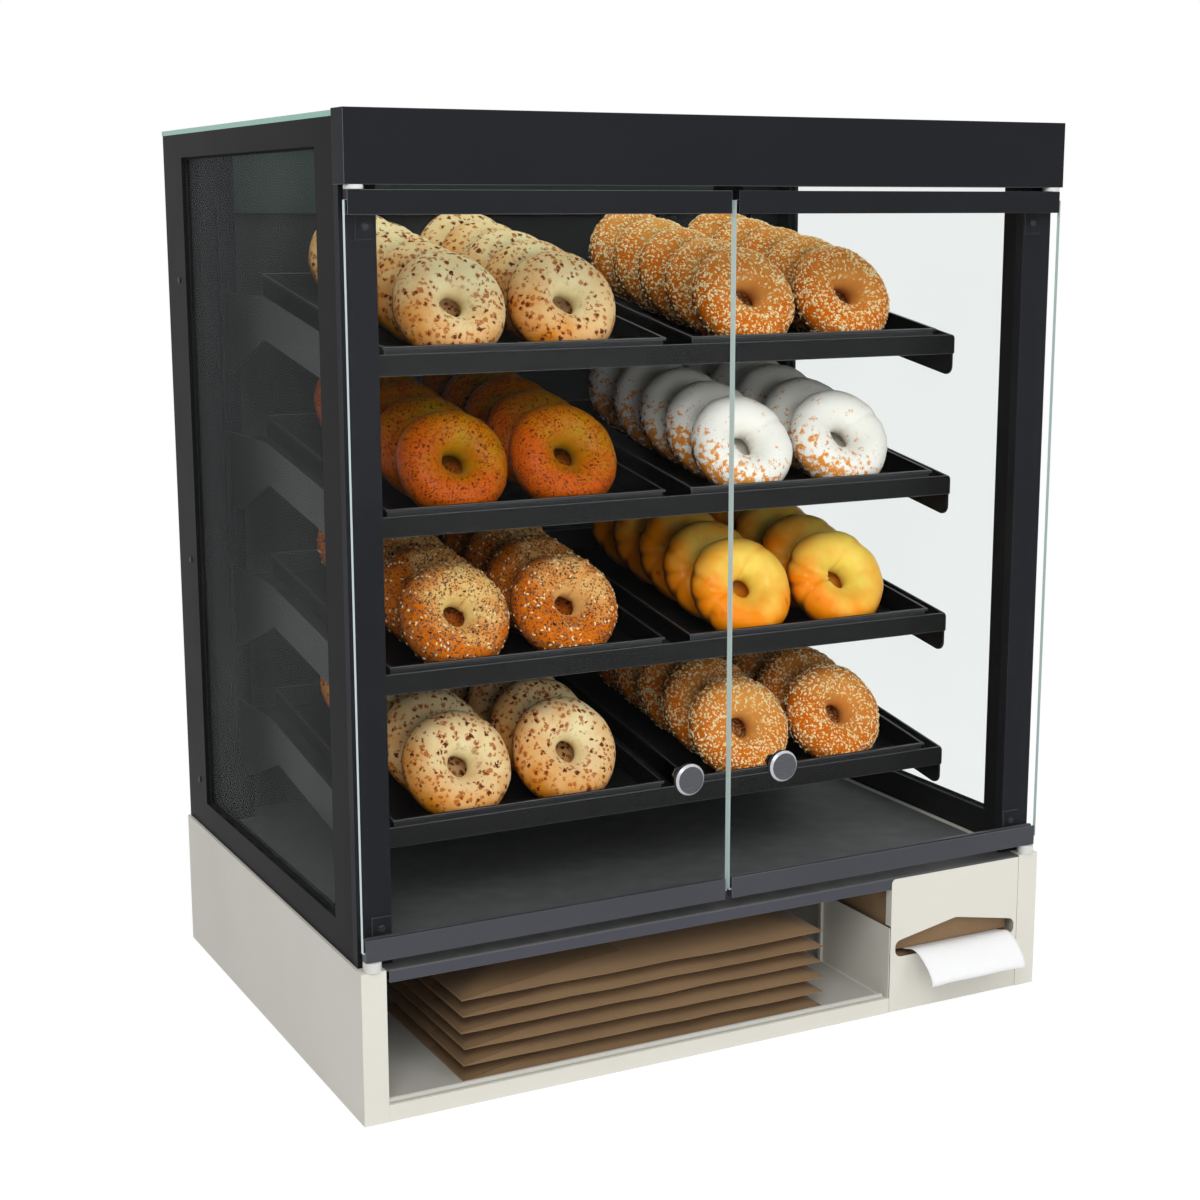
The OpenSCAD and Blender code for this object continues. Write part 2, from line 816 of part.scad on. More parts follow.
// A disc knob with a neck and a screw that passes through the glass
module door_knob(side) {
    disc = knob_disc_t;
    edge = 2.5;
    color(KNOB_GREY) at_front()
        translate([side * knob_x, knob_front, knob_z])
            rotate([-90, 0, 0])
                rotate_extrude()
                    polygon([[0, 0], [knob_r - edge, 0], [knob_r, edge], [knob_r, disc - 1.5],
                        [knob_r - 1.5, disc], [knob_neck_r + 2, disc],
                        [knob_neck_r, disc + 2], [knob_neck_r, knob_reach],
                        [knob_screw_r, knob_reach], [knob_screw_r, knob_reach + knob_screw_l],
                        [0, knob_reach + knob_screw_l]]);
}

// A hexagon nut with a washer face, on the back of the door glass
module knob_nut(side) {
    color(STEEL) at_front()
        translate([side * knob_x, door_glass_y + door_glass_t, knob_z])
            rotate([-90, 0, 0])
                difference() {
                    union() {
                        cylinder(r = knob_nut_w / 2 + 1.5, h = 1);
                        cylinder(r = knob_nut_w / sqrt(3), h = knob_nut_t, $fn = 6);
                    }
                    translate([0, 0, -1]) cylinder(r = knob_hole_r, h = knob_nut_t);
                }
}

base_side(-1);  // base_side_left
base_side(1);  // base_side_right
base_floor();
base_back();
bag_liner();
tissue_divider();
tissue_panel();
deck_plate();
deck_front_bar();
side_frame(-1);  // side_frame_left
side_frame(1);  // side_frame_right
side_gaskets();
side_glass(-1);  // side_glass_left
side_glass(1);  // side_glass_right
side_liner(-1);  // side_liner_left
side_liner(1);  // side_liner_right
front_post(-1);  // front_post_left
front_post(1);  // front_post_right
rear_post(-1);  // rear_post_left
rear_post(1);  // rear_post_right
shelf_standards();
front_header();
rear_header();
back_panel();
roof_glass();
door_stop();
post_plates();
side_screws();
plate_screws();
back_screws();
pivot_bushings();
shelf(1);  // shelf_1
shelf(2);  // shelf_2
shelf(3);  // shelf_3
shelf(4);  // shelf_4
shelf_brackets(-1);  // shelf_brackets_left
shelf_brackets(1);  // shelf_brackets_right
tray(1, -1);  // tray_1_left
tray(1, 1);  // tray_1_right
tray(2, -1);  // tray_2_left
tray(2, 1);  // tray_2_right
tray(3, -1);  // tray_3_left
tray(3, 1);  // tray_3_right
tray(4, -1);  // tray_4_left
tray(4, 1);  // tray_4_right
door_glass(-1);  // door_glass_left
door_glass(1);  // door_glass_right
door_top_rail(-1);  // door_top_rail_left
door_top_rail(1);  // door_top_rail_right
door_bottom_rail(-1);  // door_bottom_rail_left
door_bottom_rail(1);  // door_bottom_rail_right
door_pins(-1);  // door_pins_left
door_pins(1);  // door_pins_right
door_knob(-1);  // door_knob_left
door_knob(1);  // door_knob_right
knob_nut(-1);  // knob_nut_left
knob_nut(1);  // knob_nut_right
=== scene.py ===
"""Dresses the countertop bread display bin: its enclosure, doors, shelves, trays and what it displays."""

import json
import logging
import math
import random
from dataclasses import dataclass, field
from enum import Enum
from typing import Any, Callable, Iterable

import bmesh
import bpy
from mathutils import Matrix, Vector, noise

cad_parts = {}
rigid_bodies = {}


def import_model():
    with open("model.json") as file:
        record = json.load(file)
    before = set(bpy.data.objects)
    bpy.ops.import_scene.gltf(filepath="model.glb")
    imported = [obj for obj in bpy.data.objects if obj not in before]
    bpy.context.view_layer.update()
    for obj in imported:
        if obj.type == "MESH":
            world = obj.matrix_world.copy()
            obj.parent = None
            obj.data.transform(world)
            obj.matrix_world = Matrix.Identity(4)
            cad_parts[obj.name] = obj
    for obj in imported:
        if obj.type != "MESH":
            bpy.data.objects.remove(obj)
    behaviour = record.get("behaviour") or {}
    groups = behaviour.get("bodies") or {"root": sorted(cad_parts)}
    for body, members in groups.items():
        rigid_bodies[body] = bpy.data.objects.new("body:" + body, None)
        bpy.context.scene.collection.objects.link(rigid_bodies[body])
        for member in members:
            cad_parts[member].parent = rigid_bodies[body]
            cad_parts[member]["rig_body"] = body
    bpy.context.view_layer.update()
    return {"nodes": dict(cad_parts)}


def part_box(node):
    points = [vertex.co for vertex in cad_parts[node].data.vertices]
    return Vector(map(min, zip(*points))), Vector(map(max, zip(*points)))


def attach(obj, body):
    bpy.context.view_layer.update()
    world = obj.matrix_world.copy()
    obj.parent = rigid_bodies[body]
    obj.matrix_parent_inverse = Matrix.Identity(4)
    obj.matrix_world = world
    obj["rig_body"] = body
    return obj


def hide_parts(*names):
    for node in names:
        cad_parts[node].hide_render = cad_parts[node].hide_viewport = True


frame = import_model()
logging.basicConfig(level=logging.INFO, format="%(message)s")
LOG = logging.getLogger("bread_bin")

Colour = tuple[float, float, float, float]
Point = tuple[float, float, float]
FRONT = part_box("base_side_left")[0].y
SIDES = ("left", "right")
WHITE: Colour = (1.0, 1.0, 1.0, 1.0)
WELD = 0.00001


def srgb(red: int, green: int, blue: int) -> Colour:
    """Turns an 8-bit display colour into a linear one.

    Args:
        red: Red from 0 to 255.
        green: Green from 0 to 255.
        blue: Blue from 0 to 255.

    Returns:
        The linear colour with an alpha of 1.
    """
    parts = [value / 255 for value in (red, green, blue)]
    linear = [p / 12.92 if p <= 0.04045 else ((p + 0.055) / 1.055) ** 2.4 for p in parts]
    return (linear[0], linear[1], linear[2], 1.0)


class Graph:
    """Places and joins the nodes of one material or node group."""

    def __init__(self, tree: bpy.types.NodeTree) -> None:
        """Starts with an empty node tree.

        Args:
            tree: The tree that the nodes go into.
        """
        self.tree = tree
        self.tree.nodes.clear()

    def add(self, kind: str, inputs: dict[Any, Any] | None = None, **settings: Any) -> bpy.types.Node:
        """Adds a node.

        Args:
            kind: Blender's name of the node type.
            inputs: A value or a socket for each input, by name or index.
            **settings: The node's own properties.

        Returns:
            The new node.
        """
        node = self.tree.nodes.new(kind)
        node.location = (190 * (len(self.tree.nodes) % 12), -210 * (len(self.tree.nodes) // 12))
        for key, value in settings.items():
            setattr(node, key, value)
        for key, value in (inputs or {}).items():
            if isinstance(value, bpy.types.NodeSocket):
                self.tree.links.new(value, node.inputs[key])
            else:
                node.inputs[key].default_value = value
        return node

    def noise(self, vector: Any, scale: Any, detail: float = 2.0) -> bpy.types.NodeSocket:
        """Adds a noise texture.

        Args:
            vector: The coordinates it reads.
            scale: Features per metre.
            detail: Octaves.

        Returns:
            The socket of its value.
        """
        made = self.add("ShaderNodeTexNoise", {"Vector": vector, "Scale": scale, "Detail": detail})
        return made.outputs[0]

    def mix(self, share: Any, first: Any, second: Any, blend: str = "MIX") -> bpy.types.NodeSocket:
        """Mixes two colours.

        Args:
            share: How much of the second is taken.
            first: The first colour.
            second: The second colour.
            blend: The way they are mixed.

        Returns:
            The socket of the mixed colour.
        """
        made = self.add("ShaderNodeMix", {0: share, 6: first, 7: second}, data_type="RGBA", blend_type=blend)
        return made.outputs[2]

    def maths(self, operation: str, first: Any, second: Any = 0.0,
              clamp: bool = False) -> bpy.types.NodeSocket:
        """Adds a sum on one or two numbers.

        Args:
            operation: The name of the operation.
            first: The first number.
            second: The second number.
            clamp: Whether the result is kept from 0 to 1.

        Returns:
            The socket of the result.
        """
        made = self.add("ShaderNodeMath", {0: first, 1: second}, operation=operation, use_clamp=clamp)
        return made.outputs[0]

    def plus(self, first: Any, second: Any, clamp: bool = False) -> bpy.types.NodeSocket:
        """Adds two numbers, kept from 0 to 1 where clamp is set."""
        return self.maths("ADD", first, second, clamp)

    def minus(self, first: Any, second: Any) -> bpy.types.NodeSocket:
        """Takes the second number from the first."""
        return self.maths("SUBTRACT", first, second)

    def times(self, first: Any, second: Any, clamp: bool = False) -> bpy.types.NodeSocket:
        """Multiplies two numbers, kept from 0 to 1 where clamp is set."""
        return self.maths("MULTIPLY", first, second, clamp)

    def axis(self, vector: Any, number: int) -> bpy.types.NodeSocket:
        """Gives one number of a vector or colour: 0, 1 or 2."""
        return self.add("ShaderNodeSeparateXYZ", {0: vector}).outputs[number]

    def remap(self, value: Any, low: Any, high: Any, to_low: Any = 0.0,
              to_high: Any = 1.0) -> bpy.types.NodeSocket:
        """Turns a range into another with soft ends.

        Args:
            value: The number that is turned.
            low: Start of the range it comes from.
            high: End of the range it comes from.
            to_low: Start of the range it goes to.
            to_high: End of the range it goes to.

        Returns:
            The socket of the result.
        """
        made = self.add("ShaderNodeMapRange", {0: value, 1: low, 2: high, 3: to_low, 4: to_high},
                        interpolation_type="SMOOTHSTEP")
        return made.outputs[0]

    def stretched(self, vector: Any, scale: Point) -> bpy.types.NodeSocket:
        """Scales coordinates.

        Args:
            vector: The coordinates.
            scale: The scale along each axis.

        Returns:
            The socket of the scaled coordinates.
        """
        return self.add("ShaderNodeMapping", {"Vector": vector, "Scale": scale}).outputs[0]


class Groups:
    """Holds the shader node groups that the finishes share."""

    def __init__(self) -> None:
        """Builds every group once."""
        self.peel = self._make("orange_peel", [("Vector", "Vector"), ("Scale", "Float")], ["Height"],
                               self._peel)
        self.wear = self._make(
            "handling_wear",
            [("Vector", "Vector"), ("Color", "Color"), ("Worn Color", "Color"), ("Amount", "Float"),
             ("Roughness", "Float")], ["Color", "Roughness"], self._wear)
        self.dust = self._make(
            "settled_dust",
            [("Vector", "Vector"), ("Normal", "Vector"), ("Color", "Color"), ("Amount", "Float")],
            ["Color", "Mask"], self._dust)
        self.grain = self._make("drawn_grain", [("Vector", "Vector"), ("Roughness", "Float")],
                                ["Height", "Roughness"], self._grain)
        self.smears = self._make(
            "wiped_smears", [("Vector", "Vector"), ("Roughness", "Float"), ("Amount", "Float")],
            ["Roughness"], self._smears)
        self.crust = self._make(
            "oven_crust",
            [("Vector", "Vector"), ("Bake", "Float"), ("Fall", "Float"), ("Tint", "Float"), ("Pale", "Color"),
             ("Gold", "Color"), ("Spot", "Color"), ("Dark", "Color"), ("Rim Shade", "Color"), ("Toast", "Float"),
             ("Spot Scale", "Float"), ("Spot Cover", "Float"), ("Roughness", "Float")],
            ["Color", "Roughness", "Height"], self._crust)
        self.fibres = self._make(
            "paper_fibres", [("Vector", "Vector"), ("Color", "Color"), ("Fibre Color", "Color")],
            ["Color", "Height"], self._fibres)

    def _make(self, name: str, inputs: list[tuple[str, str]], outputs: list[str],
              fill: Callable[[Graph, Any], dict[str, Any]]) -> bpy.types.NodeTree:
        """Makes one node group.

        Args:
            name: The group's name.
            inputs: Name and kind of each input.
            outputs: Name of each output.
            fill: Adds the nodes and gives the socket of each output.

        Returns:
            The node group.
        """
        tree = bpy.data.node_groups.new(name, "ShaderNodeTree")
        for label, kind in inputs:
            tree.interface.new_socket(name=label, in_out="INPUT", socket_type="NodeSocket" + kind)
        for label in outputs:
            kind = "Color" if label == "Color" else "Float"
            tree.interface.new_socket(name=label, in_out="OUTPUT", socket_type="NodeSocket" + kind)
        graph = Graph(tree)
        given = graph.add("NodeGroupInput").outputs
        graph.add("NodeGroupOutput", fill(graph, given))
        return tree

    def _peel(self, graph: Graph, given: Any) -> dict[str, Any]:
        """Fills the fine waviness of sprayed paint.

        Args:
            graph: The group's graph.
            given: The group's inputs.

        Returns:
            The socket of each output.
        """
        broad = graph.noise(given["Vector"], given["Scale"], 1.0)
        fine = graph.noise(given["Vector"], graph.times(given["Scale"], 3.1), 2.0)
        return {"Height": graph.plus(graph.times(broad, 0.7), graph.times(fine, 0.3))}

    def _wear(self, graph: Graph, given: Any) -> dict[str, Any]:
        """Fills broad blotches and fine scuffs from use.

        Args:
            graph: The group's graph.
            given: The group's inputs.

        Returns:
            The socket of each output.
        """
        blotch = graph.remap(graph.noise(given["Vector"], 7.0, 4.0), 0.38, 0.72)
        upright = graph.stretched(given["Vector"], (1.0, 1.0, 9.0))
        scuffs = graph.remap(graph.noise(upright, 60.0, 3.0), 0.6, 0.78)
        mask = graph.plus(graph.times(blotch, 0.45), graph.times(scuffs, 0.55))
        share = graph.times(mask, given["Amount"], True)
        rough = graph.plus(given["Roughness"], graph.times(share, 0.35), True)
        return {"Color": graph.mix(share, given["Color"], given["Worn Color"]), "Roughness": rough}

    def _dust(self, graph: Graph, given: Any) -> dict[str, Any]:
        """Fills the dust that lies on faces that look up.

        Args:
            graph: The group's graph.
            given: The group's inputs.

        Returns:
            The socket of each output.
        """
        up = graph.axis(given["Normal"], 2)
        specks = graph.remap(graph.noise(given["Vector"], 42.0, 5.0), 0.35, 0.8)
        mask = graph.times(graph.remap(up, 0.55, 0.98), specks)
        share = graph.times(mask, given["Amount"], True)
        return {"Color": graph.mix(share, given["Color"], srgb(176, 172, 165)), "Mask": share}

    def _grain(self, graph: Graph, given: Any) -> dict[str, Any]:
        """Fills the long fine lines of drawn metal, along X.

        Args:
            graph: The group's graph.
            given: The group's inputs.

        Returns:
            The socket of each output.
        """
        lines = graph.noise(graph.stretched(given["Vector"], (6.0, 900.0, 900.0)), 1.0, 3.0)
        rough = graph.plus(given["Roughness"], graph.times(lines, 0.12), True)
        return {"Height": lines, "Roughness": rough}

    def _smears(self, graph: Graph, given: Any) -> dict[str, Any]:
        """Fills the faint streaks that a cloth leaves on metal.

        Args:
            graph: The group's graph.
            given: The group's inputs.

        Returns:
            The socket of each output.
        """
        broad = graph.noise(graph.stretched(given["Vector"], (1.0, 1.0, 0.45)), 6.0, 5.0)
        mask = graph.times(graph.remap(broad, 0.5, 0.85), given["Amount"])
        return {"Roughness": graph.plus(given["Roughness"], mask, True)}

    def _crust(self, graph: Graph, given: Any) -> dict[str, Any]:
        """Fills baked crust: pale where it is shaded from the heat, golden and spotted elsewhere, with
        painted shade towards the low left and at the outer underside.

        Args:
            graph: The group's graph.
            given: The group's inputs.

        Returns:
            The socket of each output.
        """
        broad = graph.noise(given["Vector"], 32.0, 3.0)
        fine = graph.noise(given["Vector"], 420.0, 3.0)
        swing = graph.times(graph.minus(broad, 0.5), 0.9)
        # Painted shade: deeper and more golden towards each ring's low left
        low_left_shade = graph.times(graph.minus(given["Fall"], 0.1), 0.85)
        heat = graph.plus(graph.times(given["Bake"], 0.45), low_left_shade)
        heat = graph.plus(graph.plus(heat, swing), given["Tint"])
        heat = graph.times(heat, given["Toast"], True)
        base = graph.mix(heat, given["Pale"], given["Gold"])
        base = graph.mix(graph.times(fine, 0.15), base, given["Pale"], "SOFT_LIGHT")
        stray = graph.add("ShaderNodeTexNoise", {"Vector": given["Vector"], "Scale": 260.0, "Detail": 2.0})
        bent = graph.add("ShaderNodeVectorMath",
                         {0: stray.outputs["Color"], 1: (0.0075,) * 3, 2: given["Vector"]},
                         operation="MULTIPLY_ADD").outputs[0]
        cells = graph.add("ShaderNodeTexVoronoi", {"Vector": bent, "Scale": given["Spot Scale"]})
        draw = graph.add("ShaderNodeSeparateXYZ", {0: cells.outputs["Color"]}).outputs
        # More spots towards the low left, along with the painted shade
        edge = graph.minus(1.2, graph.plus(given["Spot Cover"], graph.times(given["Fall"], 0.35)))
        edge = graph.minus(edge, graph.minus(broad, 0.5))
        open_part = graph.remap(given["Bake"], 0.05, 0.5)
        chosen = graph.times(graph.remap(draw[0], edge, graph.plus(edge, 0.08)), open_part)
        size = graph.plus(graph.times(draw[1], 0.3), 0.3)
        spots = graph.times(graph.minus(size, cells.outputs["Distance"]), 7.0, True)
        core = graph.minus(graph.times(size, draw[2]), cells.outputs["Distance"])
        dark = graph.times(core, 8.0, True)
        shown = graph.times(spots, chosen)
        spotted = graph.mix(graph.times(shown, 0.85), base, given["Spot"])
        spotted = graph.mix(graph.times(dark, chosen), spotted, given["Dark"])
        # Painted shade: past a bake of 1, at the outer underside and in creases, the crust turns to the dark
        # colour where rings touch
        rim_shade = graph.times(graph.remap(given["Bake"], 1.02, 1.45), 0.88)
        spotted = graph.mix(rim_shade, spotted, given["Rim Shade"])
        relief = graph.plus(graph.times(fine, 0.35), graph.times(broad, 0.5))
        relief = graph.plus(relief, graph.times(shown, 0.35))
        rough = graph.plus(given["Roughness"], graph.times(fine, 0.18), True)
        return {"Color": spotted, "Roughness": rough, "Height": relief}

    def _fibres(self, graph: Graph, given: Any) -> dict[str, Any]:
        """Fills the short fibres and cloudy tone of uncoated paper.

        Args:
            graph: The group's graph.
            given: The group's inputs.

        Returns:
            The socket of each output.
        """
        cloud = graph.noise(given["Vector"], 55.0, 3.0)
        fibre = graph.noise(graph.stretched(given["Vector"], (260.0, 1500.0, 1500.0)), 1.0, 2.0)
        share = graph.plus(graph.times(cloud, 0.35), graph.times(graph.remap(fibre, 0.55, 0.75), 0.4), True)
        height = graph.plus(graph.times(fibre, 0.6), graph.times(cloud, 0.4))
        return {"Color": graph.mix(share, given["Color"], given["Fibre Color"]), "Height": height}


@dataclass
class Sheet:
    """One new material with its graph, its coordinates and its main shader."""

    name: str
    material: bpy.types.Material = field(init=False)
    graph: Graph = field(init=False)
    output: bpy.types.Node = field(init=False)
    place: bpy.types.Node = field(init=False)

    def __post_init__(self) -> None:
        """Makes the material, its output and its coordinates."""
        self.material = bpy.data.materials.new(self.name)
        self.material.use_nodes = True
        self.graph = Graph(self.material.node_tree)
        self.output = self.graph.add("ShaderNodeOutputMaterial")
        self.place = self.graph.add("ShaderNodeTexCoord")

    def group(self, tree: bpy.types.NodeTree, inputs: dict[str, Any]) -> bpy.types.Node:
        """Places a shared group.

        Args:
            tree: The group.
            inputs: A value or a socket for each of its inputs.

        Returns:
            The group's node.
        """
        node = self.graph.add("ShaderNodeGroup", node_tree=tree)
        for key, value in inputs.items():
            if isinstance(value, bpy.types.NodeSocket):
                self.material.node_tree.links.new(value, node.inputs[key])
            else:
                node.inputs[key].default_value = value
        return node

    def bump(self, height: Any, strength: float, distance: float) -> bpy.types.NodeSocket:
        """Turns a height into a normal.

        Args:
            height: The height's socket.
            strength: Strength from 0 to 1.
            distance: Depth in metres.

        Returns:
            The socket of the normal.
        """
        made = self.graph.add("ShaderNodeBump",
                              {"Strength": strength, "Distance": distance, "Height": height})
        return made.outputs[0]

    def shade(self, inputs: dict[str, Any]) -> bpy.types.Node:
        """Adds the main shader and shows it.

        Args:
            inputs: A value or a socket for each input.

        Returns:
            The shader's node.
        """
        shader = self.graph.add("ShaderNodeBsdfPrincipled", inputs)
        self.material.node_tree.links.new(shader.outputs[0], self.output.inputs[0])
        return shader


@dataclass(frozen=True)
class Paint:
    """A sprayed or moulded opaque finish."""

    name: str
    colour: Colour
    worn: Colour
    roughness: float = 0.4
    peel_scale: float = 420.0
    peel_depth: float = 0.00006
    wear: float = 0.35
    dust: float = 0.12
    specular: float = 0.5
    metallic: float = 0.0
    # front and bevel are painted highlights: lighter colours for faces that look ahead and for slanted bevels
    front: Colour | None = None
    bevel: Colour | None = None

    def material(self, groups: Groups) -> bpy.types.Material:
        """Builds the material.

        Args:
            groups: The shared node groups.

        Returns:
            The material.
        """
        sheet = Sheet(self.name)
        where = sheet.place.outputs["Object"]
        wear = sheet.group(groups.wear, {"Vector": where, "Color": self.colour, "Worn Color": self.worn,
                                         "Amount": self.wear, "Roughness": self.roughness})
        dust = sheet.group(groups.dust, {"Vector": where, "Normal": sheet.place.outputs["Normal"],
                                         "Color": wear.outputs["Color"], "Amount": self.dust})
        peel = sheet.group(groups.peel, {"Vector": where, "Scale": self.peel_scale})
        colour = dust.outputs["Color"]
        if self.front or self.bevel:
            colour = self._painted_highlights(sheet, colour)
        sheet.shade({"Base Color": colour, "Roughness": wear.outputs["Roughness"],
                     "Metallic": self.metallic, "Specular IOR Level": self.specular,
                     "Normal": sheet.bump(peel.outputs["Height"], 0.5, self.peel_depth)})
        return sheet.material

    def _painted_highlights(self, sheet: Sheet, colour: Any) -> bpy.types.NodeSocket:
        """Recolours the faces that look straight ahead and the bevels round them with lighter colours, as
        painted highlights.

        Args:
            sheet: The material.
            colour: The socket of the colour elsewhere.

        Returns:
            The socket of the colour.
        """
        graph = sheet.graph
        ahead = graph.times(graph.axis(sheet.place.outputs["Normal"], 1), -1.0)
        if self.front:
            # Painted highlight on the faces that look straight ahead
            colour = graph.mix(graph.remap(ahead, 0.8, 0.95), colour, self.front)
        if self.bevel:
            # Painted highlight on the bevels that slant between front and side
            bevel_highlight = graph.times(graph.maths("GREATER_THAN", ahead, 0.45),
                                graph.maths("LESS_THAN", ahead, 0.9))
            colour = graph.mix(bevel_highlight, colour, self.bevel)
        return colour


@dataclass(frozen=True)
class DrawnMetal:
    """A bare or anodised metal with a drawn grain."""

    name: str
    colour: Colour
    roughness: float = 0.3
    metallic: float = 1.0
    smear: float = 0.15

    def material(self, groups: Groups) -> bpy.types.Material:
        """Builds the material.

        Args:
            groups: The shared node groups.

        Returns:
            The material.
        """
        sheet = Sheet(self.name)
        where = sheet.place.outputs["Object"]
        grain = sheet.group(groups.grain, {"Vector": where, "Roughness": self.roughness})
        smears = sheet.group(groups.smears, {"Vector": where, "Roughness": grain.outputs["Roughness"],
                                             "Amount": self.smear})
        wear = sheet.group(groups.wear, {"Vector": where, "Color": self.colour, "Worn Color": self.colour,
                                         "Amount": 0.2, "Roughness": 0.0})
        sheet.shade({"Base Color": wear.outputs["Color"], "Roughness": smears.outputs["Roughness"],
                     "Metallic": self.metallic,
                     "Normal": sheet.bump(grain.outputs["Height"], 0.25, 0.00004)})
        return sheet.material


class Facing(Enum):
    """The axis across a pane."""

    X = 0
    Y = 1
    Z = 2


@dataclass(frozen=True)
class Pane:
    """Clear glass with a tinted cut edge that glows faintly as a painted highlight."""

    name: str
    facing: Facing
    tint: Colour
    edge: Colour
    ior: float = 1.3
    film: float = 0.0

    def material(self, groups: Groups) -> bpy.types.Material:
        """Builds the material, which lets light and shadow rays straight through.

        Args:
            groups: The shared node groups, which clear glass doesn't need.

        Returns:
            The material.
        """
        sheet = Sheet(self.name)
        graph = sheet.graph
        clear = sheet.shade({"Base Color": self.tint, "Roughness": 0.0, "IOR": self.ior,
                             "Transmission Weight": 1.0})
        # The cut edge glows: a painted highlight along the glass edges
        cut = graph.add("ShaderNodeBsdfPrincipled", {"Base Color": self.edge, "Roughness": 0.25,
                                                     "Emission Color": self.edge, "Emission Strength": 0.15})
        across = graph.axis(sheet.place.outputs["Normal"], self.facing.value)
        at_edge = graph.maths("LESS_THAN", graph.maths("ABSOLUTE", across), 0.75)
        face = clear.outputs[0]
        if self.film:
            cloud = graph.noise(sheet.place.outputs["Object"], 5.0, 3.0)
            veil = graph.add("ShaderNodeBsdfDiffuse", {"Color": srgb(226, 230, 229)})
            cover = graph.remap(cloud, 0.2, 0.8, self.film * 0.6, self.film * 1.4)
            face = graph.add("ShaderNodeMixShader", {0: cover, 1: face, 2: veil.outputs[0]}).outputs[0]
        glass = graph.add("ShaderNodeMixShader", {0: at_edge, 1: face, 2: cut.outputs[0]})
        through = graph.add("ShaderNodeBsdfTransparent", {"Color": self.tint})
        path = graph.add("ShaderNodeLightPath")
        passing = graph.maths("MAXIMUM", path.outputs["Is Shadow Ray"], path.outputs["Is Diffuse Ray"])
        mixed = graph.add("ShaderNodeMixShader", {0: passing, 1: glass.outputs[0], 2: through.outputs[0]})
        sheet.material.node_tree.links.new(mixed.outputs[0], sheet.output.inputs[0])
        return sheet.material


@dataclass(frozen=True)
class Paper:
    """Uncoated paper or board."""

    name: str
    colour: Colour
    fibre: Colour
    roughness: float = 0.75
    depth: float = 0.00005

    def material(self, groups: Groups) -> bpy.types.Material:
        """Builds the material.

        Args:
            groups: The shared node groups.

        Returns:
            The material.
        """
        sheet = Sheet(self.name)
        fibres = sheet.group(groups.fibres, {"Vector": sheet.place.outputs["Object"], "Color": self.colour,
                                             "Fibre Color": self.fibre})
        sheet.shade({"Base Color": fibres.outputs["Color"], "Roughness": self.roughness,
                     "Specular IOR Level": 0.3, "Sheen Weight": 0.1,
                     "Normal": sheet.bump(fibres.outputs["Height"], 0.6, self.depth)})
        return sheet.material


@dataclass(frozen=True)
class Crust:
    """The baked skin of a bread ring."""

    name: str
    pale: Colour
    gold: Colour
    spot: Colour
    dark: Colour
    toast: float = 1.0
    spot_scale: float = 170.0
    spot_cover: float = 0.1
    roughness: float = 0.5
    coat: float = 0.0
    flour: float = 0.0
    # Dark colour painted as shade at each ring's outer underside and in its creases
    rim_shade: Colour = (0.09, 0.035, 0.012, 1.0)

    def material(self, groups: Groups) -> bpy.types.Material:
        """Builds the material.

        Args:
            groups: The shared node groups.

        Returns:
            The material.
        """
        sheet = Sheet(self.name)
        graph = sheet.graph
        where = sheet.place.outputs["Object"]
        marks = {n: graph.add("ShaderNodeAttribute", attribute_name=n.lower()).outputs["Fac"]
                 for n in ("Bake", "Fall", "Tint")}
        crust = sheet.group(groups.crust, {
            "Vector": where, "Bake": marks["Bake"], "Fall": marks["Fall"], "Tint": marks["Tint"],
            "Pale": self.pale, "Gold": self.gold, "Spot": self.spot, "Dark": self.dark, "Rim Shade": self.rim_shade,
            "Toast": self.toast, "Spot Scale": self.spot_scale, "Spot Cover": self.spot_cover,
            "Roughness": self.roughness})
        colour = crust.outputs["Color"]
        rough = crust.outputs["Roughness"]
        if self.flour:
            powder = graph.plus(graph.noise(where, 130.0, 5.0),
                                graph.times(graph.noise(where, 600.0, 2.0), 0.4))
            # Bare crust gathers towards the low left, where the painted shade is
            bare = graph.times(graph.remap(marks["Fall"], 0.32, 1.0), 0.34)
            cover = graph.remap(graph.minus(powder, bare), 0.65 - self.flour * 0.25, 0.77 - self.flour * 0.25)
            colour = graph.mix(cover, colour, srgb(250, 248, 240))
            rough = graph.maths("MAXIMUM", rough, graph.times(cover, 0.9))
        sheet.shade({"Base Color": colour, "Roughness": rough, "Specular IOR Level": 0.06,
                     "Coat Weight": self.coat, "Coat Roughness": 0.1,
                     "Normal": sheet.bump(crust.outputs["Height"], 0.75, 0.0009)})
        return sheet.material


@dataclass(frozen=True)
class Seed:
    """The skin of a seed or flake."""

    name: str
    colour: Colour
    shade_colour: Colour
    roughness: float = 0.45

    def material(self, groups: Groups) -> bpy.types.Material:
        """Builds the material.

        Args:
            groups: The shared node groups.

        Returns:
            The material.
        """
        sheet = Sheet(self.name)
        wear = sheet.group(groups.wear, {"Vector": sheet.place.outputs["Object"], "Color": self.colour,
                                         "Worn Color": self.shade_colour, "Amount": 0.9,
                                         "Roughness": self.roughness})
        fine = sheet.graph.noise(sheet.place.outputs["Object"], 260.0, 1.0)
        colour = sheet.graph.mix(sheet.graph.remap(fine, 0.35, 0.7), wear.outputs["Color"], self.shade_colour)
        sheet.shade({"Base Color": colour, "Roughness": wear.outputs["Roughness"]})
        return sheet.material


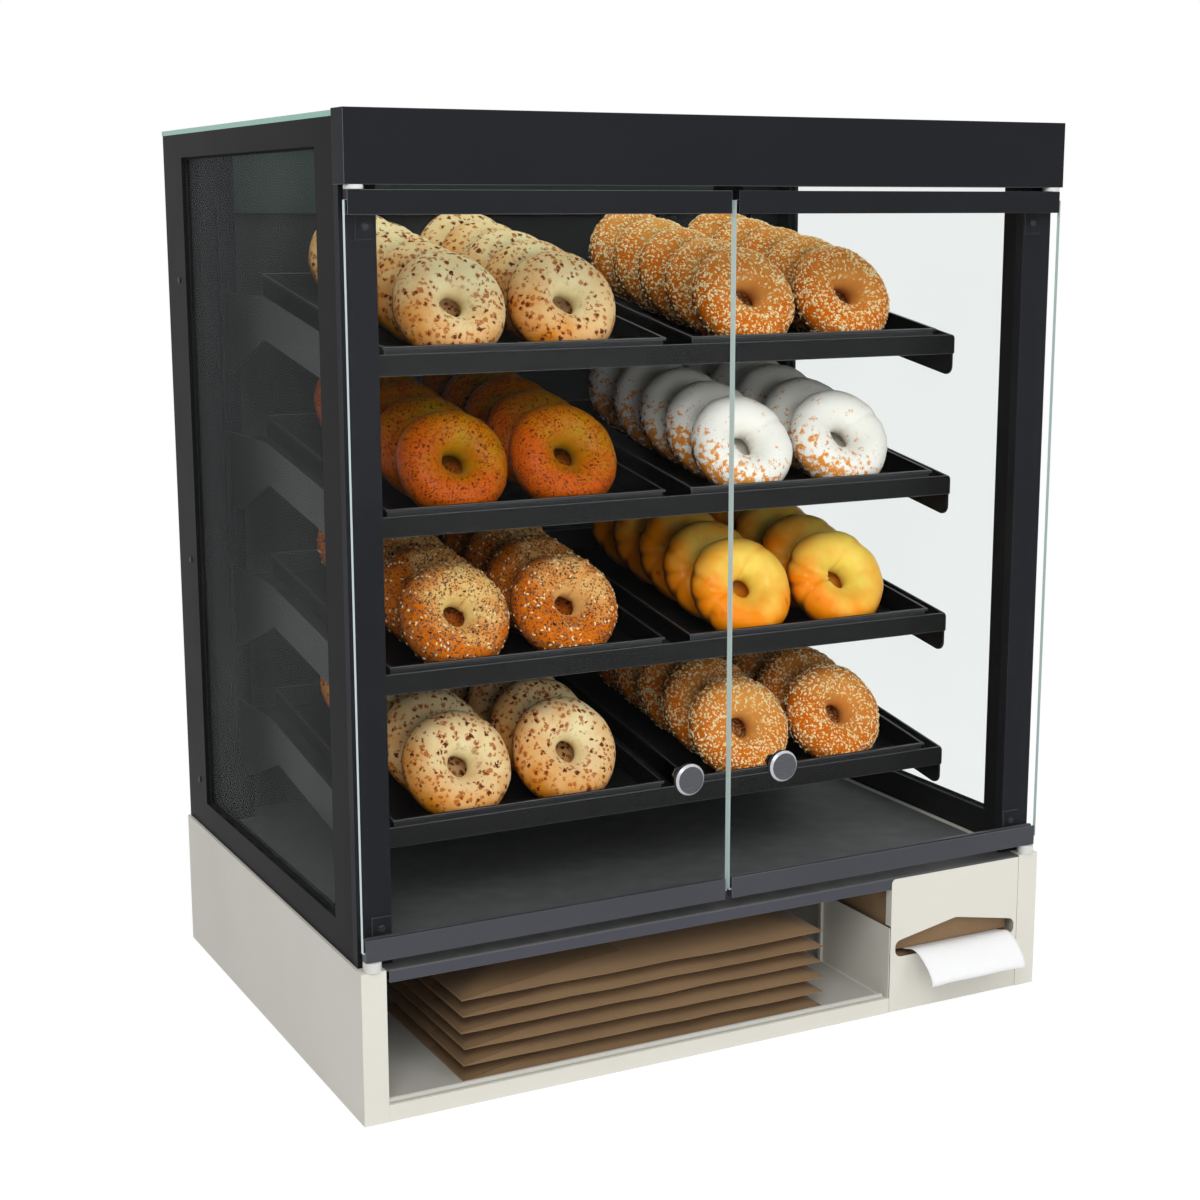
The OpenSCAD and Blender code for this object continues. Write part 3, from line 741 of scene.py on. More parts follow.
class Finishes:
    """Every finish of the bin and of what it displays."""

    def __init__(self) -> None:
        """Builds the groups and the materials."""
        groups = Groups()
        made = [
            Paint("cream_paint", srgb(224, 221, 211), srgb(205, 201, 189), 0.45, wear=0.3, dust=0.1,
                  specular=0.3),
            # A darker copy of the cream paint: painted shade of the bag bay
            Paint("cream_paint_shaded", srgb(196, 194, 186), srgb(180, 177, 168), 0.42, wear=0.3, dust=0.1,
                  specular=0.3),
            Paint("black_paint", srgb(30, 31, 35), srgb(42, 42, 45), 0.45, wear=0.3, dust=0.06,
                  specular=0.05),
            Paint("frame_paint", srgb(30, 30, 31), srgb(44, 44, 45), 0.34, peel_depth=0.00003, wear=0.3,
                  dust=0.06, specular=0.014),
            Paint("shelf_paint", srgb(22, 22, 23), srgb(36, 36, 37), 0.42, wear=0.3, dust=0.06,
                  specular=0.14),
            Paint("deck_paint", srgb(86, 86, 87), srgb(98, 98, 98), 0.5, wear=0.3, dust=0.08,
                  specular=0.12),
            Paint("bar_paint", srgb(68, 69, 77), srgb(88, 89, 96), 0.42, wear=0.3, dust=0.06, specular=0.2),
            Paint("gloss_black", srgb(42, 42, 43), srgb(50, 50, 51), 0.3, peel_depth=0.00001, wear=0.15,
                  dust=0.0, specular=0.15),
            Paint("black_rubber", srgb(18, 18, 18), srgb(32, 32, 32), 0.75, peel_scale=900.0, wear=0.5,
                  dust=0.06, specular=0.15),
            # Lighter than the black rubber: painted light that fills the shade in the recess round the side
            # glass
            Paint("gasket_rubber_lightened", srgb(44, 45, 45), srgb(54, 54, 54), 0.7, peel_scale=900.0, wear=0.4,
                  dust=0.0, specular=0.02),
            # front: a painted highlight on the trays' front faces
            Paint("tray_plastic", srgb(7, 7, 8), srgb(18, 18, 19), 0.32, peel_scale=700.0, wear=0.35,
                  dust=0.02, specular=0.14, front=srgb(54, 54, 56)),
            Paint("nylon", srgb(214, 214, 210), srgb(190, 188, 181), 0.4, wear=0.4, dust=0.1),
            # bevel: a painted highlight, the bright ring round the knob's face
            Paint("knob_metal", srgb(78, 79, 84), srgb(104, 105, 110), 0.26, wear=0.35, dust=0.04,
                  metallic=0.3, specular=0.4, bevel=srgb(196, 197, 202)),
            Paint("rail_paint", srgb(30, 31, 34), srgb(48, 49, 53), 0.4, wear=0.3, dust=0.06,
                  specular=0.06),
            # A lighter copy of the rail paint: painted light on the bottom rails
            Paint("low_rail_paint_lit", srgb(64, 65, 71), srgb(84, 85, 91), 0.36, wear=0.3, dust=0.06,
                  specular=0.2),
            # Lighter colour on the rounded edges of the dark parts: rubbed wear and a painted highlight along
            # the edges
            Paint("rubbed_edge_and_highlight", srgb(84, 85, 88), srgb(120, 121, 124), 0.3, wear=0.6, dust=0.0,
                  specular=0.4),
            # Black paint tinted green: painted light, the green light that comes through the roof glass
            Paint("rear_paint_roof_light", srgb(40, 52, 49), srgb(52, 62, 60), 0.45, wear=0.3, dust=0.06,
                  specular=0.14),
            DrawnMetal("steel", srgb(150, 150, 154), 0.32),
            DrawnMetal("black_screw", srgb(34, 34, 37), 0.4, metallic=0.4),
            # The door glass's pale edge colour is a painted highlight on the door edges
            Pane("door_glass", Facing.Y, (0.985, 0.995, 0.99, 1.0), srgb(200, 220, 218), 1.07),
            Pane("side_glass", Facing.X, (0.86, 0.885, 0.88, 1.0), srgb(96, 128, 118), 1.02, 0.02),
            Pane("roof_glass", Facing.Z, (0.90, 0.96, 0.94, 1.0), srgb(125, 178, 160), 1.35),
            Paper("kraft_paper", srgb(140, 112, 80), srgb(118, 91, 63)),
            # A darker copy of the bag paper for the folded flaps: painted shade
            Paper("kraft_paper_shaded", srgb(124, 97, 66), srgb(104, 79, 53)),
            Paper("carton_board", srgb(148, 120, 88), srgb(126, 100, 70)),
            Paper("tissue_paper", srgb(248, 248, 248), srgb(236, 236, 238), 0.65, 0.00002),
            Crust("crust_cheese", srgb(255, 253, 206), srgb(222, 134, 26), srgb(186, 94, 28),
                  srgb(106, 46, 24), 0.86, 150.0, 1.06, 0.6),
            Crust("crust_sesame", srgb(226, 168, 88), srgb(210, 104, 0), srgb(252, 216, 140),
                  srgb(255, 236, 176), 1.15, 310.0, 0.55, 0.5),
            Crust("crust_glazed", srgb(162, 136, 0), srgb(194, 86, 0), srgb(96, 28, 0), srgb(60, 14, 0),
                  1.3, 380.0, 1.15, 0.3, 0.07),
            Crust("crust_floured", srgb(240, 216, 178), srgb(232, 144, 44), srgb(222, 138, 48),
                  srgb(196, 104, 34), 1.1, 150.0, 0.1, 0.7, 0.0, 0.86),
            Crust("crust_seeded", srgb(252, 236, 160), srgb(214, 110, 16), srgb(134, 74, 44),
                  srgb(52, 28, 22), 1.35, 330.0, 1.05, 0.6),
            Crust("crust_golden", srgb(255, 248, 120), srgb(255, 140, 2), srgb(240, 120, 0),
                  srgb(220, 100, 0), 1.1, 90.0, 0.0, 0.34, 0.16),
            Seed("seed_pale", srgb(255, 240, 194), srgb(242, 202, 132)),
            Seed("seed_dark", srgb(70, 48, 44), srgb(34, 26, 28)),
            Seed("flake_brown", srgb(150, 104, 76), srgb(96, 58, 38)),
        ]
        self.materials = {finish.name: finish.material(groups) for finish in made}

    def __getitem__(self, name: str) -> bpy.types.Material:
        """Gives a material by its name."""
        return self.materials[name]


def finish_mesh(name: str, bm: bmesh.types.BMesh, materials: Iterable[bpy.types.Material],
                sharp: float = 40.0) -> bpy.types.Object:
    """Makes an object at the origin of a finished bmesh.

    Args:
        name: The piece's name.
        bm: The bmesh, which is freed.
        materials: The piece's materials in slot order.
        sharp: The angle in degrees from which an edge is sharp.

    Returns:
        The object.
    """
    for face in bm.faces:
        face.smooth = True
    mesh = bpy.data.meshes.new(name)
    bm.to_mesh(mesh)
    bm.free()
    mesh.set_sharp_from_angle(angle=math.radians(sharp))
    piece = bpy.data.objects.new(name, mesh)
    bpy.context.scene.collection.objects.link(piece)
    for material in materials:
        mesh.materials.append(material)
    return piece


@dataclass
class Dresser:
    """Gives CAD nodes their finish, with eased edges where they show."""

    finishes: Finishes

    def body(self, node: str) -> str:
        """Gives the body that a node rides on."""
        return frame["nodes"][node]["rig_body"]

    def paint(self, nodes: Iterable[str], finish: str) -> None:
        """Gives nodes a finish as they are.

        Args:
            nodes: The nodes' names.
            finish: The finish's name.
        """
        for node in nodes:
            mesh = frame["nodes"][node].data
            mesh.materials.clear()
            mesh.materials.append(self.finishes[finish])
            LOG.info("%s: %s", node, finish)

    def ease(self, nodes: Iterable[str], finish: str, slot: str, edge: float, segments: int = 2,
             edge_finish: str | None = None) -> None:
        """Stands in for nodes with copies whose edges are rounded.

        Args:
            nodes: The nodes' names.
            finish: The finish's name.
            slot: The record's material slot; not used.
            edge: The radius of the edges in metres.
            segments: Faces across each rounded edge.
            edge_finish: The finish of the rounded edges, where it differs; a lighter one paints their
                highlight.
        """
        for node in nodes:
            bm = bmesh.new()
            bm.from_mesh(frame["nodes"][node].data)
            bmesh.ops.remove_doubles(bm, verts=bm.verts, dist=WELD)
            bmesh.ops.dissolve_limit(bm, angle_limit=math.radians(0.6), verts=bm.verts, edges=bm.edges,
                                     use_dissolve_boundaries=False)
            corners = [e for e in bm.edges if len(e.link_faces) == 2 and e.is_convex
                       and e.calc_face_angle(0.0) > math.radians(50)]
            rounded = bmesh.ops.bevel(bm, geom=corners, offset=edge, offset_type="OFFSET", segments=segments,
                                      profile=0.5, affect="EDGES", clamp_overlap=True, material=-1,
                                      loop_slide=True)
            materials = [self.finishes[finish]]
            if edge_finish:
                materials.append(self.finishes[edge_finish])
                # The rounded edges take the edge finish: rubbed wear and a painted highlight
                for face in rounded["faces"]:
                    face.material_index = 1
            piece = finish_mesh(node + "_finished", bm, materials)
            piece.modifiers.new("face_normals", "WEIGHTED_NORMAL").keep_sharp = True
            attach(piece, self.body(node))
            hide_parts(node)
            LOG.info("%s: %s, eased by %.2f mm", node, finish, edge * 1000)


@dataclass
class Base:
    """The cream base with its bag bay and tissue compartment."""

    dresser: Dresser
    box_edge: float = 0.0009
    bar_edge: float = 0.0006
    sheet_edge: float = 0.0005
    back_edge: float = 0.0004

    def build(self) -> None:
        """Dresses the base's sheets."""
        self.dresser.ease([f"base_side_{s}" for s in SIDES], "cream_paint", "cream_paint", self.box_edge, 3)
        self.dresser.ease(["base_floor", "tissue_panel", "tissue_divider"], "cream_paint", "cream_paint",
                          self.sheet_edge)
        self.dresser.ease(["base_back"], "cream_paint", "cream_paint", self.back_edge)
        # The liner's darker cream is painted shade of the bay
        self.dresser.paint(["bag_liner"], "cream_paint_shaded")
        self.dresser.ease(["deck_front_bar"], "bar_paint", "bar_paint", self.bar_edge, 2, "rubbed_edge_and_highlight")
        self.dresser.paint(["deck_plate"], "deck_paint")


@dataclass
class Enclosure:
    """The dark frames, headers, glass and back of the cabinet."""

    dresser: Dresser
    header_edge: float = 0.0012
    frame_edge: float = 0.0008
    sheet_edge: float = 0.0005
    pane_edge: float = 0.0004

    def build(self) -> None:
        """Dresses the enclosure."""
        ease, paint = self.dresser.ease, self.dresser.paint
        ease([f"side_frame_{s}" for s in SIDES], "frame_paint", "frame_black", self.frame_edge)
        ease([f"side_liner_{s}" for s in SIDES], "frame_paint", "frame_black", self.sheet_edge)
        ease([f"front_post_{s}" for s in SIDES], "black_paint", "black_paint", self.frame_edge, 2,
             "rubbed_edge_and_highlight")
        ease(["front_header"], "black_paint", "black_paint", self.header_edge, 3, "rubbed_edge_and_highlight")
        # The rear header's green tint is painted light from the roof glass
        ease(["rear_header"], "rear_paint_roof_light", "black_paint", self.sheet_edge)
        ease(["post_plates"], "black_paint", "black_paint", self.sheet_edge, 2, "rubbed_edge_and_highlight")
        paint([f"rear_post_{s}" for s in SIDES] + ["shelf_standards"], "black_paint")
        # The gaskets' lighter rubber is painted light in the recess's shade
        paint(["side_gaskets"], "gasket_rubber_lightened")
        paint(["door_stop"], "black_rubber")
        ease(["back_panel"], "gloss_black", "gloss_black", self.pane_edge)
        ease([f"side_glass_{s}" for s in SIDES], "side_glass", "side_glass", self.pane_edge)
        ease(["roof_glass"], "roof_glass", "roof_glass", self.sheet_edge)
        paint(["side_screws", "back_screws", "plate_screws"], "black_screw")


@dataclass
class Doors:
    """The two glass doors with rails, pins and knobs."""

    dresser: Dresser
    rail_edge: float = 0.0007
    bushing_edge: float = 0.0006
    pane_edge: float = 0.0004

    def build(self) -> None:
        """Dresses both doors and their bushings."""
        for side in SIDES:
            self.dresser.ease([f"door_glass_{side}"], "door_glass", "door_glass", self.pane_edge)
            self.dresser.ease([f"door_top_rail_{side}"], "rail_paint", "rail_paint", self.rail_edge, 2,
                              "rubbed_edge_and_highlight")
            # The bottom rails' lighter rail paint is painted light
            self.dresser.ease([f"door_bottom_rail_{side}"], "low_rail_paint_lit", "rail_paint", self.rail_edge, 2,
                              "rubbed_edge_and_highlight")
            self.dresser.paint([f"door_knob_{side}"], "knob_metal")
            self.dresser.paint([f"door_pins_{side}", f"knob_nut_{side}"], "steel")
        self.dresser.ease(["pivot_bushings"], "nylon", "nylon", self.bushing_edge)


@dataclass
class ShelfRack:
    """The four shelves, their brackets and the eight trays."""

    dresser: Dresser
    levels: int = 4
    shelf_edge: float = 0.0006
    tray_edge: float = 0.0005

    def build(self) -> None:
        """Dresses the shelves, the brackets and the trays."""
        numbers = range(1, self.levels + 1)
        self.dresser.ease([f"shelf_{n}" for n in numbers], "shelf_paint", "black_paint", self.shelf_edge, 2,
                          "rubbed_edge_and_highlight")
        self.dresser.ease([f"shelf_brackets_{s}" for s in SIDES], "shelf_paint", "black_paint",
                          self.tray_edge)
        self.dresser.ease([f"tray_{n}_{s}" for n in numbers for s in SIDES], "tray_plastic",
                          "tray_plastic", self.tray_edge, 2, "rubbed_edge_and_highlight")


class Bread(Enum):
    """The kinds of bread ring on show."""

    CHEESE = "crust_cheese"
    SESAME = "crust_sesame"
    GLAZED = "crust_glazed"
    FLOURED = "crust_floured"
    SEEDED = "crust_seeded"
    GOLDEN = "crust_golden"


# Each crease: its angle round the ring, its lean round the roll, and its depth in metres
CREASES: dict[Bread, tuple[Point, ...]] = {
    Bread.GOLDEN: ((2.6, 0.3, 0.0022), (3.15, 0.1, 0.0016), (3.6, -0.2, 0.002), (0.5, 0.35, 0.0016)),
    Bread.GLAZED: ((5.6, 0.3, 0.0012),),
    Bread.FLOURED: ((0.35, 0.2, 0.0015),),
    Bread.SEEDED: ((0.75, 0.1, 0.0024),),
}

# Half sizes of a seed or flake: along, across and up
SESAME_SEED: Point = (0.0022, 0.0012, 0.0007)
POPPY_SEED: Point = (0.0009, 0.0008, 0.0006)
GRAIN_FLAKE: Point = (0.0019, 0.0013, 0.0006)


@dataclass
class Bagel:
    """One bread ring, lying flat round the Z axis with its crown up."""

    ring_r: float = 0.0395
    roll_r: float = 0.026
    around: int = 56
    across: int = 28
    lumps: float = 0.0013
    crown: float = 0.98
    foot: float = 0.93
    crease_w: float = 0.08
    # Width and strength of the painted shade in creases
    crease_shade_w: float = 0.07
    crease_shade: float = 0.2
    seeds: int = 800
    lump_step: float = 0.37

    def surface(self, turn: float, tube: float, kind: Bread, seed: float) -> tuple[Vector, Vector]:
        """Gives a point of the ring's skin.

        Args:
            turn: The angle round the ring.
            tube: The angle round the roll, 0 outside and a quarter turn on the crown.
            kind: The kind of bread.
            seed: Shifts the lumps.

        Returns:
            The point and the way that the skin faces there.
        """
        facing = Vector((math.cos(turn) * math.cos(tube), math.sin(turn) * math.cos(tube), math.sin(tube)))
        middle = Vector((math.cos(turn), math.sin(turn), 0.0)) * self.ring_r
        height = self.crown if tube > 0 else self.foot
        shift = Vector((seed * 3.1, seed * 1.7, seed))
        swell = 1.0 + 0.05 * noise.noise(Vector((math.cos(turn), math.sin(turn), seed)) * 1.3)
        point = middle + facing * self.roll_r * swell
        point.z *= height
        point += facing * self.lumps * noise.noise(point * 42.0 + shift)
        point += facing * self.lumps * 0.3 * noise.noise(point * 140.0 + shift)
        for crease in CREASES.get(kind, ()):
            point -= facing * crease[2] * math.exp(-(self.gap(turn, tube, crease) / self.crease_w) ** 2)
        return point, facing

    def gap(self, turn: float, tube: float, crease: Point) -> float:
        """Gives the angle round the ring from a crease to a point."""
        return (turn - crease[0] - crease[1] * tube + math.pi) % (2 * math.pi) - math.pi

    def marked(self, turn: float, tube: float, kind: Bread) -> float:
        """Gives how much of a crease lies at a point, from 0 to 1."""
        return max((math.exp(-(self.gap(turn, tube, crease) / self.crease_shade_w) ** 2)
                    for crease in CREASES.get(kind, ())), default=0.0)

    def bake(self, tube: float) -> float:
        """Gives how far the crust is baked: 0 in the hole, 1 outside and more towards the underside, where
        the excess over 1 is painted shade.

        Args:
            tube: The angle round the roll.

        Returns:
            The bake.
        """
        from_hole = abs((tube + 2 * math.pi) % (2 * math.pi) - math.pi)
        open_part = min(1.0, from_hole / (0.62 * math.pi))
        front = open_part * open_part * (3 - 2 * open_part) * (0.78 + 0.22 * max(0.0, math.cos(tube)))
        # The extra towards the underside is painted shade where rings touch
        return front + (0.8 * max(0.0, 0.28 - math.sin(tube)) if math.cos(tube) > -0.3 else 0.0)

    def build(self, kind: Bread, seed: int) -> bpy.types.Mesh:
        """Builds one ring with what is strewn on it.

        Args:
            kind: The kind of bread.
            seed: Chooses the lumps and the places of the seeds.

        Returns:
            The mesh, with its bake in an attribute.
        """
        bm = bmesh.new()
        around = self.around * 2 if kind in (Bread.GOLDEN, Bread.GLAZED, Bread.FLOURED) else self.around
        profile = bmesh.ops.create_circle(bm, cap_ends=False, radius=self.roll_r,
                                          segments=self.across)["verts"]
        bmesh.ops.rotate(bm, verts=profile, cent=(0, 0, 0), matrix=Matrix.Rotation(math.pi / 2, 3, "X"))
        bmesh.ops.translate(bm, verts=profile, vec=(self.ring_r, 0, 0))
        bmesh.ops.spin(bm, geom=list(bm.verts) + list(bm.edges), cent=(0, 0, 0), axis=(0, 0, 1),
                       angle=2 * math.pi, steps=around, use_merge=True)
        bmesh.ops.remove_doubles(bm, verts=bm.verts, dist=WELD)
        bmesh.ops.recalc_face_normals(bm, faces=bm.faces)
        baked = bm.verts.layers.float.new("bake")
        for vert in bm.verts:
            turn = math.atan2(vert.co.y, vert.co.x)
            tube = math.atan2(vert.co.z, math.hypot(vert.co.x, vert.co.y) - self.ring_r)
            vert.co = self.surface(turn, tube, kind, seed * self.lump_step)[0]
            # Creases add to the bake: painted shade in the creases
            vert[baked] = self.bake(tube) + self.crease_shade * self.marked(turn, tube, kind)
        if kind in (Bread.SESAME, Bread.SEEDED):
            self.strew(bm, kind, seed)
        mesh = bpy.data.meshes.new("ring")
        bm.to_mesh(mesh)
        bm.free()
        return mesh

    def strew(self, bm: bmesh.types.BMesh, kind: Bread, seed: int) -> None:
        """Strews seeds and flakes over the crown.

        Args:
            bm: The ring's bmesh.
            kind: The kind of bread.
            seed: Chooses the places.
        """
        chance = random.Random(seed * 91 + 7)
        placed = 0
        while placed < self.seeds:
            turn = chance.uniform(-math.pi, math.pi)
            tube = chance.uniform(-0.5, 2.5)
            share = (self.ring_r + self.roll_r * math.cos(tube)) / (self.ring_r + self.roll_r)
            if chance.random() > share or chance.random() > 1.25 - 0.55 * abs(tube - 1.0):
                continue
            placed += 1
            point, facing = self.surface(turn, tube, kind, seed * self.lump_step)
            index, size = 1, SESAME_SEED
            if kind is Bread.SEEDED:
                if abs(turn - 0.55) < 0.38 and tube > 1.2:
                    continue
                draw = chance.random()
                if draw < 0.5:
                    index, size = 2, POPPY_SEED
                elif draw < 0.8:
                    index, size = 3, GRAIN_FLAKE
            scale = chance.uniform(0.85, 1.2)
            lie = facing.to_track_quat("Z", "X").to_matrix().to_4x4()
            place = (Matrix.Translation(point + facing * size[2] * 0.35) @ lie
                     @ Matrix.Rotation(chance.uniform(0, math.pi), 4, "Z")
                     @ Matrix.Rotation(chance.uniform(-0.25, 0.25), 4, "X")
                     @ Matrix.Diagonal((size[0] * scale, size[1] * scale, size[2] * scale, 1.0)))
            made = bmesh.ops.create_icosphere(bm, subdivisions=1, radius=1.0, matrix=place)
            for face in {f for v in made["verts"] for f in v.link_faces}:
                face.material_index = index


@dataclass
class TrayLoad:
    """Two columns of bread rings that lean back on one tray."""

    finishes: Finishes
    level: int
    side: str
    kind: Bread
    columns: tuple[float, float] = (-0.0733, 0.0653)
    first_row: float = 0.175
    pitch: float = 0.067
    rows: int = 5
    lean: float = math.radians(60)
    tray_tilt: float = math.radians(9.4)
    tray_h: float = 0.028
    tray_t: float = 0.0012
    rim_w: float = 0.0025
    clearance: float = 0.0002

    def build(self, rings: list[bpy.types.Mesh]) -> None:
        """Builds the tray's bread as one piece.

        Args:
            rings: Ring meshes to choose from.
        """
        tray = f"tray_{self.level}_{self.side}"
        low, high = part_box(tray)
        chance = random.Random(self.level * 10 + len(self.side))
        up = Vector((0.0, -math.sin(self.tray_tilt), math.cos(self.tray_tilt)))
        inner_y = low.y + self.rim_w * math.cos(self.tray_tilt) + self.tray_h * math.sin(self.tray_tilt)
        corner = Vector((0.0, inner_y, low.z)) + up * self.tray_t
        whole = bmesh.new()
        for label in ("bake", "fall", "tint"):
            whole.verts.layers.float.new(label)
        for column in self.columns:
            for row in range(self.rows):
                part = bmesh.new()
                part.from_mesh(chance.choice(rings))
                centre = Vector(((low.x + high.x) / 2 + column + chance.uniform(-0.001, 0.001),
                                 FRONT + self.first_row + row * self.pitch, 0.0))
                turn = (Matrix.Rotation(self.lean + math.radians(chance.uniform(-1.2, 1.2)), 4, "X")
                        @ Matrix.Rotation(math.radians(chance.uniform(-1.5, 1.5)), 4, "Y")
                        @ Matrix.Rotation(chance.uniform(-0.14, 0.14), 4, "Z"))
                bmesh.ops.transform(part, verts=part.verts, matrix=Matrix.Translation(centre) @ turn)
                lowest = min((v.co - corner).dot(up) for v in part.verts)
                lift = (self.clearance - lowest) / up.z
                bmesh.ops.translate(part, verts=part.verts, vec=(0.0, 0.0, lift))
                self._mark(part, chance.uniform(-0.08, 0.1))
                mesh = bpy.data.meshes.new("placed")
                part.to_mesh(mesh)
                part.free()
                whole.from_mesh(mesh)
                bpy.data.meshes.remove(mesh)
        names = [self.kind.value, "seed_pale", "seed_dark", "flake_brown"]
        piece = finish_mesh(f"bread_{self.level}_{self.side}", whole, [self.finishes[n] for n in names], 60.0)
        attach(piece, tray)
        LOG.info("%s: %d rings, %s", piece.name, len(self.columns) * self.rows, self.kind.value)

    def _mark(self, part: bmesh.types.BMesh, tint: float) -> None:
        """Writes how far each point lies towards the low left, which the crust darkens as painted shade, and
        the ring's own tint.

        Args:
            part: The placed ring.
            tint: The ring's tint.
        """
        fall = part.verts.layers.float.new("fall")
        shade = part.verts.layers.float.new("tint")
        low = Vector(min(v.co[axis] for v in part.verts) for axis in range(3))
        high = Vector(max(v.co[axis] for v in part.verts) for axis in range(3))
        for vert in part.verts:
            down = (high.z - vert.co.z) / (high.z - low.z)
            leftward = (high.x - vert.co.x) / (high.x - low.x)
            vert[fall] = 0.62 * down + 0.38 * leftward
            vert[shade] = tint


@dataclass
class BagStack:
    """Flat paper bags in the bay, with creased ends and soft mouths."""

    finishes: Finishes
    count: int = 6
    low_x: float = -0.328
    high_x: float = 0.142
    mouth_y: float = 0.014
    depth: float = 0.245
    pitch: float = 0.0189
    taper: float = 0.062
    liner_t: float = 0.0012
    clearance: float = 0.0003
    paper: float = 0.0006
    slack: float = 0.0016
    flap_reach: float = 0.216
    flap_w: float = 0.1

    def build(self) -> None:
        """Builds the bags from the bottom up."""
        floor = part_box("bag_liner")[0].z + self.liner_t
        for number in range(self.count):
            self._bag(number, floor + self.clearance + number * self.pitch)

    def height(self, number: int, x: float, y: float) -> float:
        """Gives how high a bag's top face stands over its underside.

        Args:
            number: The bag's place from the bottom.
            x: The distance from its left end.
            y: The distance from its mouth.

        Returns:
            The height in metres.
        """
        width = self.high_x - self.low_x
        near = min(x, width - x, y * 1.05, (self.depth - y) * 1.3)
        rise = min(1.0, max(0.0, near) / self.taper)
        full = self.pitch - self.slack
        u = x / width
        wave = 0.0011 * math.sin(7.5 * u + number * 1.3) + 0.0008 * math.sin(19 * u - number)
        raised = full * rise ** 0.8 + wave * min(1.0, max(0.0, near) / 0.02) * (1 - 0.6 * rise)
        return max(self.paper, min(full, raised + self.paper))

    def _bag(self, number: int, bottom: float) -> None:
        """Builds one bag.

        Args:
            number: Its place from the bottom.
            bottom: The height that it lies at.
        """
        chance = random.Random(40 + number)
        low = Vector((self.low_x + chance.uniform(-0.003, 0.003),
                      FRONT + self.mouth_y + chance.uniform(-0.0015, 0.0015), bottom))
        width = self.high_x - self.low_x
        bm = bmesh.new()
        bmesh.ops.create_grid(bm, x_segments=64, y_segments=34, size=0.5)
        for vert in bm.verts:
            x, y = (vert.co.x + 0.5) * width, (vert.co.y + 0.5) * self.depth
            mouth = 0.003 * noise.noise(Vector((x * 14, number * 2.7, 0.0))) * max(0.0, 1 - y / 0.03)
            vert.co = low + Vector((x, y + mouth, self.height(number, x, y)))
        made = bmesh.ops.extrude_face_region(bm, geom=list(bm.faces))
        for vert in (g for g in made["geom"] if isinstance(g, bmesh.types.BMVert)):
            vert.co.z = bottom + max(0.0, (vert.co.z - bottom) * 0.12 - 0.0004)
        bmesh.ops.recalc_face_normals(bm, faces=bm.faces)
        self._flap(bm, low, number)
        piece = finish_mesh(f"paper_bag_{number + 1}", bm,
                            [self.finishes["kraft_paper"], self.finishes["kraft_paper_shaded"]], 32.0)
        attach(piece, "cabinet")
        LOG.info("%s: %.0f by %.0f mm", piece.name, width * 1000, self.depth * 1000)

    def _flap(self, bm: bmesh.types.BMesh, low: Vector, number: int) -> None:
        """Adds the folded end that lies on a bag's left front corner.

        Args:
            bm: The bag's bmesh.
            low: The bag's low left front corner.
            number: The bag's place from the bottom.
        """
        part = bmesh.new()
        bmesh.ops.create_grid(part, x_segments=24, y_segments=10, size=0.5)
        reach = self.flap_reach + 0.005 * math.sin(number * 2.1)
        for vert in part.verts:
            u, v = vert.co.x + 0.5, vert.co.y + 0.5
            near = Vector((0.0015 + u * reach, 0.001 + u * 0.03))
            far = Vector((0.0015 + u * (reach - 0.022), self.flap_w - 0.012 * u))
            spot = near.lerp(far, v)
            lift = 0.0004 + 0.0016 * math.sin(math.pi * min(1.0, u * 1.1)) * (1 - v) ** 2
            rest = min(self.height(number, spot.x, spot.y) + lift, self.pitch - 0.0011)
            vert.co = low + Vector((spot.x, spot.y, rest))
        grown = bmesh.ops.extrude_face_region(part, geom=list(part.faces))
        lower = [g for g in grown["geom"] if isinstance(g, bmesh.types.BMVert)]
        bmesh.ops.translate(part, verts=lower, vec=(0.0, 0.0, -0.0003))
        bmesh.ops.recalc_face_normals(part, faces=part.faces)
        mesh = bpy.data.meshes.new("flap")
        part.to_mesh(mesh)
        part.free()
        count = len(bm.faces)
        bm.from_mesh(mesh)
        bm.faces.ensure_lookup_table()
        # The flap's faces take the darker paper: painted shade
        for face in bm.faces[count:]:
            face.material_index = 1
        bpy.data.meshes.remove(mesh)


